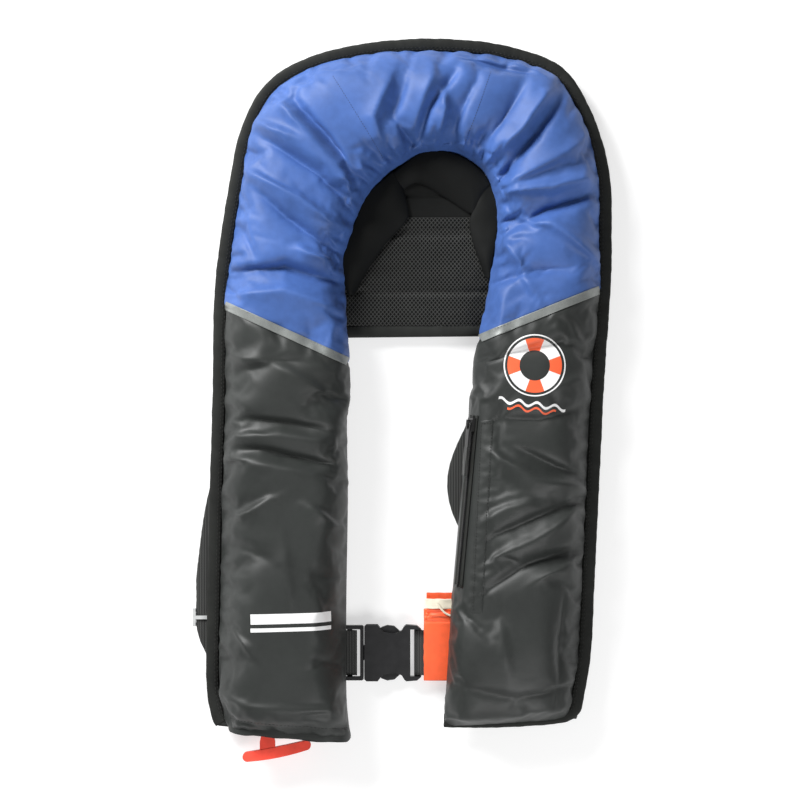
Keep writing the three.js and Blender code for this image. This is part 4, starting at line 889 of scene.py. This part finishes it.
def binding_section(angle, share):
    """Tape folded round the rim: thin at the stitching, full at the edge."""
    x, z = squared(angle, 5.7, 4.2, 0.55)
    i = share * len(edge_line)
    ripple = 0.45 * math.sin(i * 1.1) * math.sin(i * 0.37 + 1) + wobble(i, 0, 0, 9, 0.9)
    pinch = 1 - 0.22 * max(0.0, (x - 1.5) / 4.2)
    return x + 5.6 - 0.35 * ripple * (x < 0), z * pinch + 0.25 * ripple


to_piece("edge_tape", swept(edge_line, binding_section), "binding_tape", stands_for=("edge_binding",))


def beside(line, inward, z):
    """The line moved towards the middle of the jacket."""
    made = []
    for a, b in zip(line, line[1:]):
        t = (b - a).normalized()
        made.append(Vector((a.x, a.y, z)) + Vector((t.y, -t.x, 0)) * inward)
    return made


for inward, name in ((9.6, "edge_stitches_inner"), (7.6, "edge_stitches_outer")):
    stitch_row(name, beside(edge_line, inward, 20.15), 3.4, 0.6)


# %% The rolled hem at the mouth of the left lobe
hem_line = [jacket_point(share, 1.0, 1.6) for share in np.linspace(0.02, 0.955, 50)]


def hem_section(angle, share):
    """A soft roll that tapers at both ends and lies flat underneath."""
    x, z = squared(angle, 5.6, 2.4, 0.7)
    taper = min(1.0, 0.35 + 9 * min(share, 1 - share))
    if z < 0:
        return (x + 2.0) * taper, z * 0.1
    aside, up = wobble(share * 90, 3, 0, 14, 1.6), wobble(share * 90, 0, 5, 9, 1.6)
    return (x + 2.0 + aside) * taper, (z + up) * taper


hem_roll = to_piece("hem_roll", swept(hem_line, hem_section, side=(0.03, 1, 0)), "black_cloth")
as_cut(hem_roll, (0.014, 0.112))
stitch_row("hem_stitches", [on_cloth(p.x, p.y + 8.5, 0.1) for p in hem_line[2:-2]], 3.2, 0.5)

# %% The reflective tapes over the two seams
def seam_tape(name, station, stands_for):
    """A tape along the rib at a seam, draped on the cloth of both panels."""
    inner, outer, _ = rib_at(station)
    run = (outer - inner).normalized()
    room = (outer - inner).length - RIM
    square = Vector((run.y, -run.x))

    def place(u, v):
        across = room * (1 - math.cos(math.pi * v)) / 2
        p = inner + run * max(across, 0.25)
        low, high = p - square * 4.2, p + square * 4.2
        p += square * (u - 0.5) * 6.9
        bridge = on_cloth(low.x, low.y).z * (1 - u) + on_cloth(high.x, high.y).z * u
        return Vector((p.x, p.y, max(bridge, on_cloth(p.x, p.y).z) + 0.3))

    tape = to_piece(name, laid_grid(6, 70, place), "reflective_tape", stands_for=stands_for)
    thicken(tape, 0.45, offset=1.0)
    for sign in (-1, 1):
        path = []
        for v in np.linspace(0.03, 0.97, 90):
            p = inner + run * (room * (1 - math.cos(math.pi * v)) / 2) + square * sign * 2.6
            path.append(on_cloth(p.x, p.y, 0.95))
        stitch_row(name + ("_stitches_low" if sign < 0 else "_stitches_high"), path, 2.8, 0.35,
                   finish=finishes["reflective_tape"], slot="reflective_tape")


strip_nodes = sorted(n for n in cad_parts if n.startswith("reflective"))
print("reflective nodes:", strip_nodes)
seam_tape("seam_tape_left", LEFT_SEAM, [n for n in strip_nodes if "left" in n])
seam_tape("seam_tape_right", RIGHT_SEAM, [n for n in strip_nodes if "right" in n])

# %% The two fine seams of the collar
collar_seams = {
    "collar_seam_left": [(-59, 268), (-37, 232), (-17, 200)],
    "collar_seam_right": [(72, 272), (61, 240), (51, 214)],
}
for name, points in collar_seams.items():
    path = [on_cloth(p.x, p.y, 0.12) for p in smooth_line([(x, y, 0) for x, y in points], 2.0)]
    stitch_row(name, path, 2.3, 0.42, slot="blue_cloth")

# %% [markdown]
# ## The back cover
#
# One flat sheet under the whole U. It shows in the mouth of the hem and from behind, so it gets the same
# cloth and a slight quilting.

# %% Back cover
def back_place(u, v):
    """A point of the back cover: u from the outer edge to the inner, v along the U."""
    inner, outer, _ = rib_at(END * v)
    run = (outer - inner).normalized()
    p = inner + run * (0.4 + ((outer - inner).length - 2.2) * (1 - u))
    return Vector((p.x, p.y, 14.2 + wobble(p.x, p.y, 2, 16, 0.3)))


back_cover = to_piece("back_cover", laid_grid(24, 190, back_place), "black_cloth", stands_for=("cover_back",))
thicken(back_cover, 1.1, smooth=0)
print("back cover area", round(area_of(back_cover), 4))

# %% [markdown]
# ## The back pad
#
# A crowned pad of foam in black cloth, sewn across in channels, with an open mesh on the wearer's side
# and a bound lower edge. The cushion is a closed loop swept up the pad, pinched at each channel. The mesh
# is a real lattice: a turned grid whose every face is inset and emptied, laid over the cushion.

# %% The cushion
PAD_LOW, PAD_HIGH = 62.3, 215
PAD_HALF = 73
CHANNELS = (90.7, 138.6, 143.2, 172)


def pad_half(y):
    """Half thickness of the pad at that height up the jacket."""
    pinch = sum(0.42 * math.exp(-(((y - channel) / 2.2) ** 2)) for channel in CHANNELS)
    ends = min(1.0, math.sqrt(max(0.0, y - PAD_LOW + 1) / 12))
    ends *= min(1.0, math.sqrt(max(0.0, PAD_HIGH - y + 1) / 12))
    return 5.4 * (1 - min(pinch, 0.6)) * (0.55 + 0.45 * ends)


def pad_width(y):
    """Half width of the pad: it narrows towards the top."""
    return PAD_HALF - max(0.0, (y - 122) / 93) * 16


def cushion_section(angle, share):
    """The cushion's outline, thinner towards its sides and slightly quilted on top."""
    y = PAD_LOW + (PAD_HIGH - PAD_LOW) * share
    x, z = squared(angle, pad_width(y), pad_half(y), 0.3)
    crowned = z * (1 - 0.25 * (abs(x) / PAD_HALF) ** 4)
    return x, crowned + (0.25 * math.sin(x * 0.4) * math.cos(y * 0.3) if z > 0 else 0)


pad_middle = [Vector((7, y, 5.9)) for y in np.linspace(PAD_LOW, PAD_HIGH, 110)]
pad_cushion = to_piece(
    "pad_cushion", swept(pad_middle, cushion_section, around=64), finishes["pad_foam"],
    stands_for=("pad_foam", "pad_backing"), slot="pad_foam",
)
pad_cushion.data.materials[0] = pad_cloth
pad_skin = skin_of(pad_cushion)

# %% The open mesh
lattice = bmesh.new()
bmesh.ops.create_grid(lattice, x_segments=74, y_segments=74, size=0.093)
on_its_corner = Matrix.Rotation(math.radians(45), 3, "Z")
bmesh.ops.rotate(lattice, verts=lattice.verts, cent=(0, 0, 0), matrix=on_its_corner)
bmesh.ops.scale(lattice, verts=lattice.verts, vec=(0.92, 1.08, 1))
bmesh.ops.translate(lattice, verts=lattice.verts, vec=(0.010, 0.118, 0))
# The mesh is cut off 153 mm up, short of the pad's top at 215 mm, so above it the pad shows its plain
# near-black cloth as painted shade under the collar, where the real mesh goes on.
for point, outward in (
    ((-0.062, 0, 0), (-1, 0, 0)), ((0.077, 0, 0), (1, 0, 0)),
    ((0, 0.0605, 0), (0, -1, 0)), ((0, 0.153, 0), (0, 1, 0)),
):
    everything = lattice.verts[:] + lattice.edges[:] + lattice.faces[:]
    bmesh.ops.bisect_plane(lattice, geom=everything, plane_co=point, plane_no=outward, clear_outer=True)
cells = lattice.faces[:]
bmesh.ops.inset_individual(lattice, faces=cells, thickness=0.00030, use_even_offset=True)
bmesh.ops.delete(lattice, geom=cells, context="FACES_ONLY")
for v in lattice.verts:
    v.co = on_cloth(v.co.x * 1000, v.co.y * 1000, 0.75, pad_skin, 3.0) / 1000
pad_lattice = to_piece("pad_lattice", lattice, "spacer_mesh", stands_for=("pad_mesh",))
thicken(pad_lattice, 0.4, smooth=0, offset=0.0)
print("mesh cells:", len(cells))

# %% The pad's bound lower edge
pad_edge = [Vector((x, 57.6 + (x + 47) * 0.01, 5.6)) for x in np.linspace(-65.5, 79.5, 60)]


def pad_tape_section(angle, share):
    """A round-edged loop of tape with a slight ripple along it."""
    x, z = squared(angle, 5.3, 5.0, 0.6)
    return x, z + wobble(share * 140, 0, 0, 8, 0.5)


to_piece("pad_tape", swept(pad_edge, pad_tape_section), "binding_tape", stands_for=("pad_binding",))
stitch_row("pad_stitches", [Vector((p.x, p.y + 3.4, 10.35)) for p in pad_edge], 3.2, 0.5)
for channel in CHANNELS[:3]:
    path = [on_cloth(x, channel, 0.75, pad_skin, 3.0) for x in np.linspace(-58, 74, 80)]
    stitch_row("channel_stitches_" + str(round(channel)), path, 2.6, 0.5)

# %% [markdown]
# ## The neck lining
#
# Three soft flaps of smooth lining run from the collar's inner edge down over the pad. Each is a grid
# between two lines, its outer edge under the collar and its free edge on the pad, with a rounded belly
# between.


# %% A lining flap
def lining(name, outer, inner, belly, stands_for):
    """A flap between two lines of points given in millimetres."""
    a = smooth_line([(x, y, 0) for x, y in outer], 1.0)
    b = smooth_line([(x, y, 0) for x, y in inner], 1.0)

    def place(u, v):
        p = a[round(v * (len(a) - 1))].lerp(b[round(v * (len(b) - 1))], u)
        ends = math.sin(math.pi * (0.12 + 0.76 * v)) ** 0.5
        rise = 15.2 * (1 - u) + 13.4 * u + belly * ends * math.sin(math.pi * min(1, 0.2 + 0.8 * u)) ** 0.8
        return Vector((p.x, p.y, rise + wobble(p.x, p.y, 1, 22, 1.6) * math.sin(math.pi * u)))

    flap = to_piece(name, laid_grid(18, 40, place), neoprene, stands_for=stands_for, slot="binding_tape")
    thicken(flap, 1.3)
    print(name, "area", round(area_of(flap), 5))


lining(
    "lining_left", [(-9, 191), (-32, 170), (-46, 134), (-51, 119), (-51, 103), (-46, 88)],
    [(-1.7, 178.9), (3.3, 159), (1.7, 149.8), (-15, 131.5), (-30, 110), (-42.4, 88)],
    5.5, ("neck_lining_left",),
)
lining(
    "lining_top", [(-14, 186), (10, 205), (23.3, 210), (48.3, 204), (66.6, 190), (72.4, 181)],
    [(-2.5, 174), (11.6, 181), (35.8, 168.1), (54, 156.5), (61, 158.5), (71.4, 178)],
    6.5, ("neck_lining_top",),
)
lining(
    "lining_right", [(66, 192), (78, 170), (78.5, 141), (75, 120), (71.5, 101)],
    [(61, 166), (55.7, 153.9), (54.9, 145), (58, 130), (68, 102)], 3.5, ("neck_lining_right",),
)

# %% [markdown]
# ## Webbing
#
# The belt and the two back straps are flat 38 mm webbing: a thin rounded section swept along each strap's
# own line, not simulated, because a strap keeps its width and thickness.


# %% Straps
WEBBING_WIDTH, WEBBING_WALL = 38.0, 1.5
BELT_Y, BELT_Z, STRAP_Z = -212.4, 6.6, 9.0


def strap(name, points, body, stands_for):
    """Flat webbing along the points, in millimetres."""
    line = smooth_line(points, 3.0)

    def section(angle, share):
        x, h = squared(angle, WEBBING_WIDTH / 2, WEBBING_WALL / 2, 0.25)
        edge = 0.12 * math.sin(share * len(line) * 2.4) * (abs(x) > WEBBING_WIDTH / 2 - 1)
        return x + edge, h

    to_piece(name, swept(line, section, around=28), "black_webbing", body, stands_for)


strap("belt_left", [(x, BELT_Y, BELT_Z) for x in (-139.8, -90, -39.4)], "buckle_male_half",
      ("waist_belt_left",))
strap("belt_right", [(x, BELT_Y, BELT_Z) for x in (8.6, 60, 131.8)], "jacket", ("waist_belt_right",))
strap(
    "strap_left",
    [(x, y, STRAP_Z) for x, y in [
        (-143.0, -222), (-148.5, -206), (-155.0, -190), (-155.4, -165), (-154.4, -140), (-143.4, -74),
        (-112.4, 0), (-90, 50), (-86, 110),
    ]],
    "jacket", ("back_strap_left",),
)
strap(
    "strap_right",
    [(x, y, STRAP_Z) for x, y in [
        (134, -231.8), (134, -200), (126, -165), (87.9, -125), (62.9, -98), (55.5, -66), (69.9, -28),
        (92, 10), (101, 50), (101, 110),
    ]],
    "jacket", ("back_strap_right",),
)

# %% [markdown]
# ## The orange keeper
#
# A sleeve of orange cloth holds the belt beside the right lobe. A cream band is sewn across its top, a
# short flap stands above that, and the stitching gathers the cloth into small crinkles.

# %% Keeper, band and its stitches
KEEPER_X = (16.6, 44.0)
KEEPER_FOOT, KEEPER_LENGTH = -235.7, 60.2


def keeper_place(angle, share):
    """The sleeve's outline, crinkled under the band and drawn in along its two stitch rows."""
    half = (KEEPER_X[1] - KEEPER_X[0]) / 2
    y = KEEPER_FOOT + KEEPER_LENGTH * share
    crease = 0.55 * math.exp(-(((y + 181) / 5) ** 4))
    x, z = squared(angle, half, 2.9, 0.35)
    ripple = wobble(x * 1.3, y * 1.5, 0, 2.6, 1.9) * crease * 2 + wobble(x, y, 4, 14, 0.5)
    ripple -= 0.9 * sum(math.exp(-(((y - row) / 0.9) ** 2)) for row in (-178.2, -186.0))
    return x + wobble(0, y, 9, 7, 0.5), z + (ripple if z > 0 else 0)


keeper_middle = (KEEPER_X[0] + KEEPER_X[1]) / 2
keeper_line = [Vector((keeper_middle, KEEPER_FOOT + KEEPER_LENGTH * i / 80, 6.4)) for i in range(81)]
keeper_sleeve = to_piece("keeper_sleeve", swept(keeper_line, keeper_place, around=48), "orange_cloth",
                         stands_for=("keeper",))


def flat_tab(name, low, high, finish, stands_for=(), ripple=0.5, wall=0.9):
    """A small rectangle of cloth between two corners in millimetres."""
    def place(u, v):
        x, y = low[0] + (high[0] - low[0]) * u, low[1] + (high[1] - low[1]) * v
        z = low[2] + wobble(x, y, low[2], 6, ripple)
        return Vector((x + wobble(0, y, 3, 5, 0.4), y + wobble(x, 0, 7, 9, 0.8), z))

    tab = to_piece(name, laid_grid(16, 12, place), finish, stands_for=stands_for)
    thicken(tab, wall, offset=1.0)
    return tab


keeper_flap = flat_tab("keeper_flap", (19.0, -176.5, 5.0), (44.2, -161.9, 5.0), "orange_cloth")
as_cut(keeper_flap, (0.025, 0.0146))
cream_band = flat_tab("cream_band", (17.6, -175.4, 8.9), (44.4, -166.9, 8.9), "white_tape",
                      ("keeper_band",), 0.9)
as_cut(cream_band, (0.027, 0.010))
keeper_skin = skin_of(keeper_sleeve)
box_path = smooth_line([(18.6, -178.2, 9.6), (41, -178.2, 9.6)], 0.8)
box_path += smooth_line([(41, -186, 9.6), (18.6, -186, 9.6)], 0.8)
box_path = [on_cloth(p.x, p.y, 0.1, keeper_skin, 5.0) for p in box_path]
stitch_row("keeper_stitches", box_path, 1.9, 0.5, finish=finishes["orange_cloth"], slot="orange_cloth")

# %% [markdown]
# ## The zip
#
# A coil zip: two tapes, and a row of interlocked teeth along their meeting line. Each tooth is one small
# block. The slider, pull and stop are the CAD's own parts.


# %% Teeth and tapes
def on_zip(aside, along, up):
    """A point of the zip's own frame, in millimetres."""
    return zip_top + zip_across * aside + zip_along * along + zip_normal * up


TOOTH_PITCH = 0.8
zip_turn = Matrix((zip_across, zip_along, zip_normal)).transposed().to_4x4()
teeth = bmesh.new()
for i in range(int(ZIP_LENGTH / TOOTH_PITCH) - 1):
    place = Matrix.Translation(on_zip(0.75 if i % 2 else -0.75, TOOTH_PITCH * (i + 1), 1.55) / 1000)
    size = Matrix.Diagonal((0.0021, 0.00052, 0.0013, 1))
    bmesh.ops.create_cube(teeth, size=1, matrix=place @ zip_turn @ size)
bmesh.ops.bevel(
    teeth, geom=teeth.edges[:], offset=0.00014, segments=1, profile=0.5, affect="EDGES", material=-1,
)
to_piece("zip_teeth", teeth, "black_plastic", stands_for=("zip_coil",), slot="black_webbing")
print("zip teeth:", int(ZIP_LENGTH / TOOTH_PITCH) - 1)
for name, sign, stands_for in (("tape_inner", 1, "zip_tape_inner"), ("tape_outer", -1, "zip_tape_outer")):
    tape = to_piece(
        name,
        laid_grid(5, 60, lambda u, v: on_zip(sign * (1.5 + 5.6 * u), ZIP_LENGTH * v, 0.35 + 0.25 * u)),
        "binding_tape", stands_for=(stands_for,),
    )
    thicken(tape, 0.5, smooth=0, offset=-1.0 if sign < 0 else 1.0)

# %% The welt and its two stitch rows
def welt_point(u, v, above):
    """u runs from the zip side to the far side, v down the pocket."""
    a = Vector((62.0, -17.0)).lerp(Vector((54.8, -176)), v)
    b = Vector((74.0, -16.0)).lerp(Vector((64.6, -176)), v)
    p = a.lerp(b, u)
    return on_cloth(p.x, p.y, above)


welt = to_piece("welt", laid_grid(8, 80, lambda u, v: welt_point(1 - u, 1 - v, 0.25)), "black_cloth",
                stands_for=("pocket_welt",))
thicken(welt, 0.7, offset=1.0)
as_cut(welt, (0.011, 0.160))
for share, name in ((0.14, "welt_stitches_inner"), (0.86, "welt_stitches_outer")):
    stitch_row(name, [welt_point(share, v, 1.05) for v in np.linspace(0.02, 0.98, 100)], 2.6, 0.5)
stitch_row("welt_stitches_top", [welt_point(u, 0.015, 1.05) for u in np.linspace(0.1, 0.9, 12)], 2.4, 0.5)

# %% [markdown]
# ## The soft parts inside and behind
#
# The bladder, pocket bag, belt sleeves and closure strips are plain in the CAD model. Each gets a copy of
# its solid with its doubles merged, its edges rounded and its faces softly creased, which is all that a
# folded or flat-sewn layer needs.


# %% Rounded copies of CAD cloth
def softened(node_name, name, finish, round_edges, ripple, size):
    """A merged, rounded and creased copy of a CAD solid."""
    shape = bmesh.new()
    shape.from_mesh(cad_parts[node_name].data)
    bmesh.ops.remove_doubles(shape, verts=shape.verts, dist=1e-6)
    bmesh.ops.dissolve_limit(shape, angle_limit=math.radians(2), verts=shape.verts, edges=shape.edges)
    bmesh.ops.bevel(
        shape, geom=shape.edges[:], offset=round_edges / 1000, segments=2, profile=0.5, affect="EDGES",
        material=-1, clamp_overlap=True,
    )
    bmesh.ops.triangulate(shape, faces=shape.faces[:])
    long_edges = [e for e in shape.edges if e.calc_length() > 0.012]
    bmesh.ops.subdivide_edges(shape, edges=long_edges, cuts=3, use_grid_fill=True)
    bmesh.ops.triangulate(shape, faces=shape.faces[:])
    for v in shape.verts:
        q = v.co * 1000
        v.co.z += wobble(q.x, q.y, q.z, size, ripple) / 1000
    return to_piece(name, shape, finish, stands_for=(node_name,), slot=finish)


softened("bladder", "folded_bladder", "bladder_cloth", 1.2, 0.8, 14)
for node_name, name, finish, ripple, flat, held, resting in (
    ("pocket_bag", "pocket_pouch", "black_cloth", 0.3, (0.045, 0.135), "folded", "folded_bladder"),
    ("belt_sleeve_left", "sleeve_left", "black_cloth", 0.15, (0.054, 0.10), "laid", "back_cover"),
    ("belt_sleeve_right", "sleeve_right", "black_cloth", 0.15, (0.047, 0.10), "laid", "back_cover"),
    ("closure_hook_strip", "hook_tape", "hook_and_loop", 0.1, (0.0102, 1.02), "laid", "back_cover"),
    ("closure_loop_strip", "loop_tape", "hook_and_loop", 0.1, (0.0102, 1.02), "laid", "back_cover"),
):
    round_edges = 0.3 if "tape" not in name else 0.2
    as_cut(softened(node_name, name, finish, round_edges, ripple, 12), flat)

# %% [markdown]
# ## Moulded and cast parts
#
# The buckle, handle, slider and zip hardware keep their CAD shapes. Real moulded edges are never knife
# sharp, so their loose triangles are welded and the sharp edges get a small live bevel.


# %% Round the edges of the hard parts
def eased(node_name, width):
    """Welds a CAD node and bevels its sharp edges, without touching its mesh."""
    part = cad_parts[node_name]
    weld = part.modifiers.new("weld", "WELD")
    weld.merge_threshold = 1e-6
    bevel = part.modifiers.new("bevel", "BEVEL")
    bevel.width = width / 1000
    bevel.segments = 3
    bevel.limit_method = "ANGLE"
    bevel.angle_limit = math.radians(32)
    bevel.harden_normals = False


for node_name, width in {
    "buckle_female": 0.7, "buckle_male": 0.5, "prong_upper": 0.5, "prong_lower": 0.5, "pull_handle": 1.4,
    "strap_slider": 0.5, "zip_slider": 0.3, "zip_pull": 0.25, "zip_pull_tab": 0.4, "zip_stop": 0.2,
    "whistle": 0.5, "inflator_body": 0.8, "inflation_lever": 0.5, "gas_cylinder": 0.3,
}.items():
    eased(node_name, width)
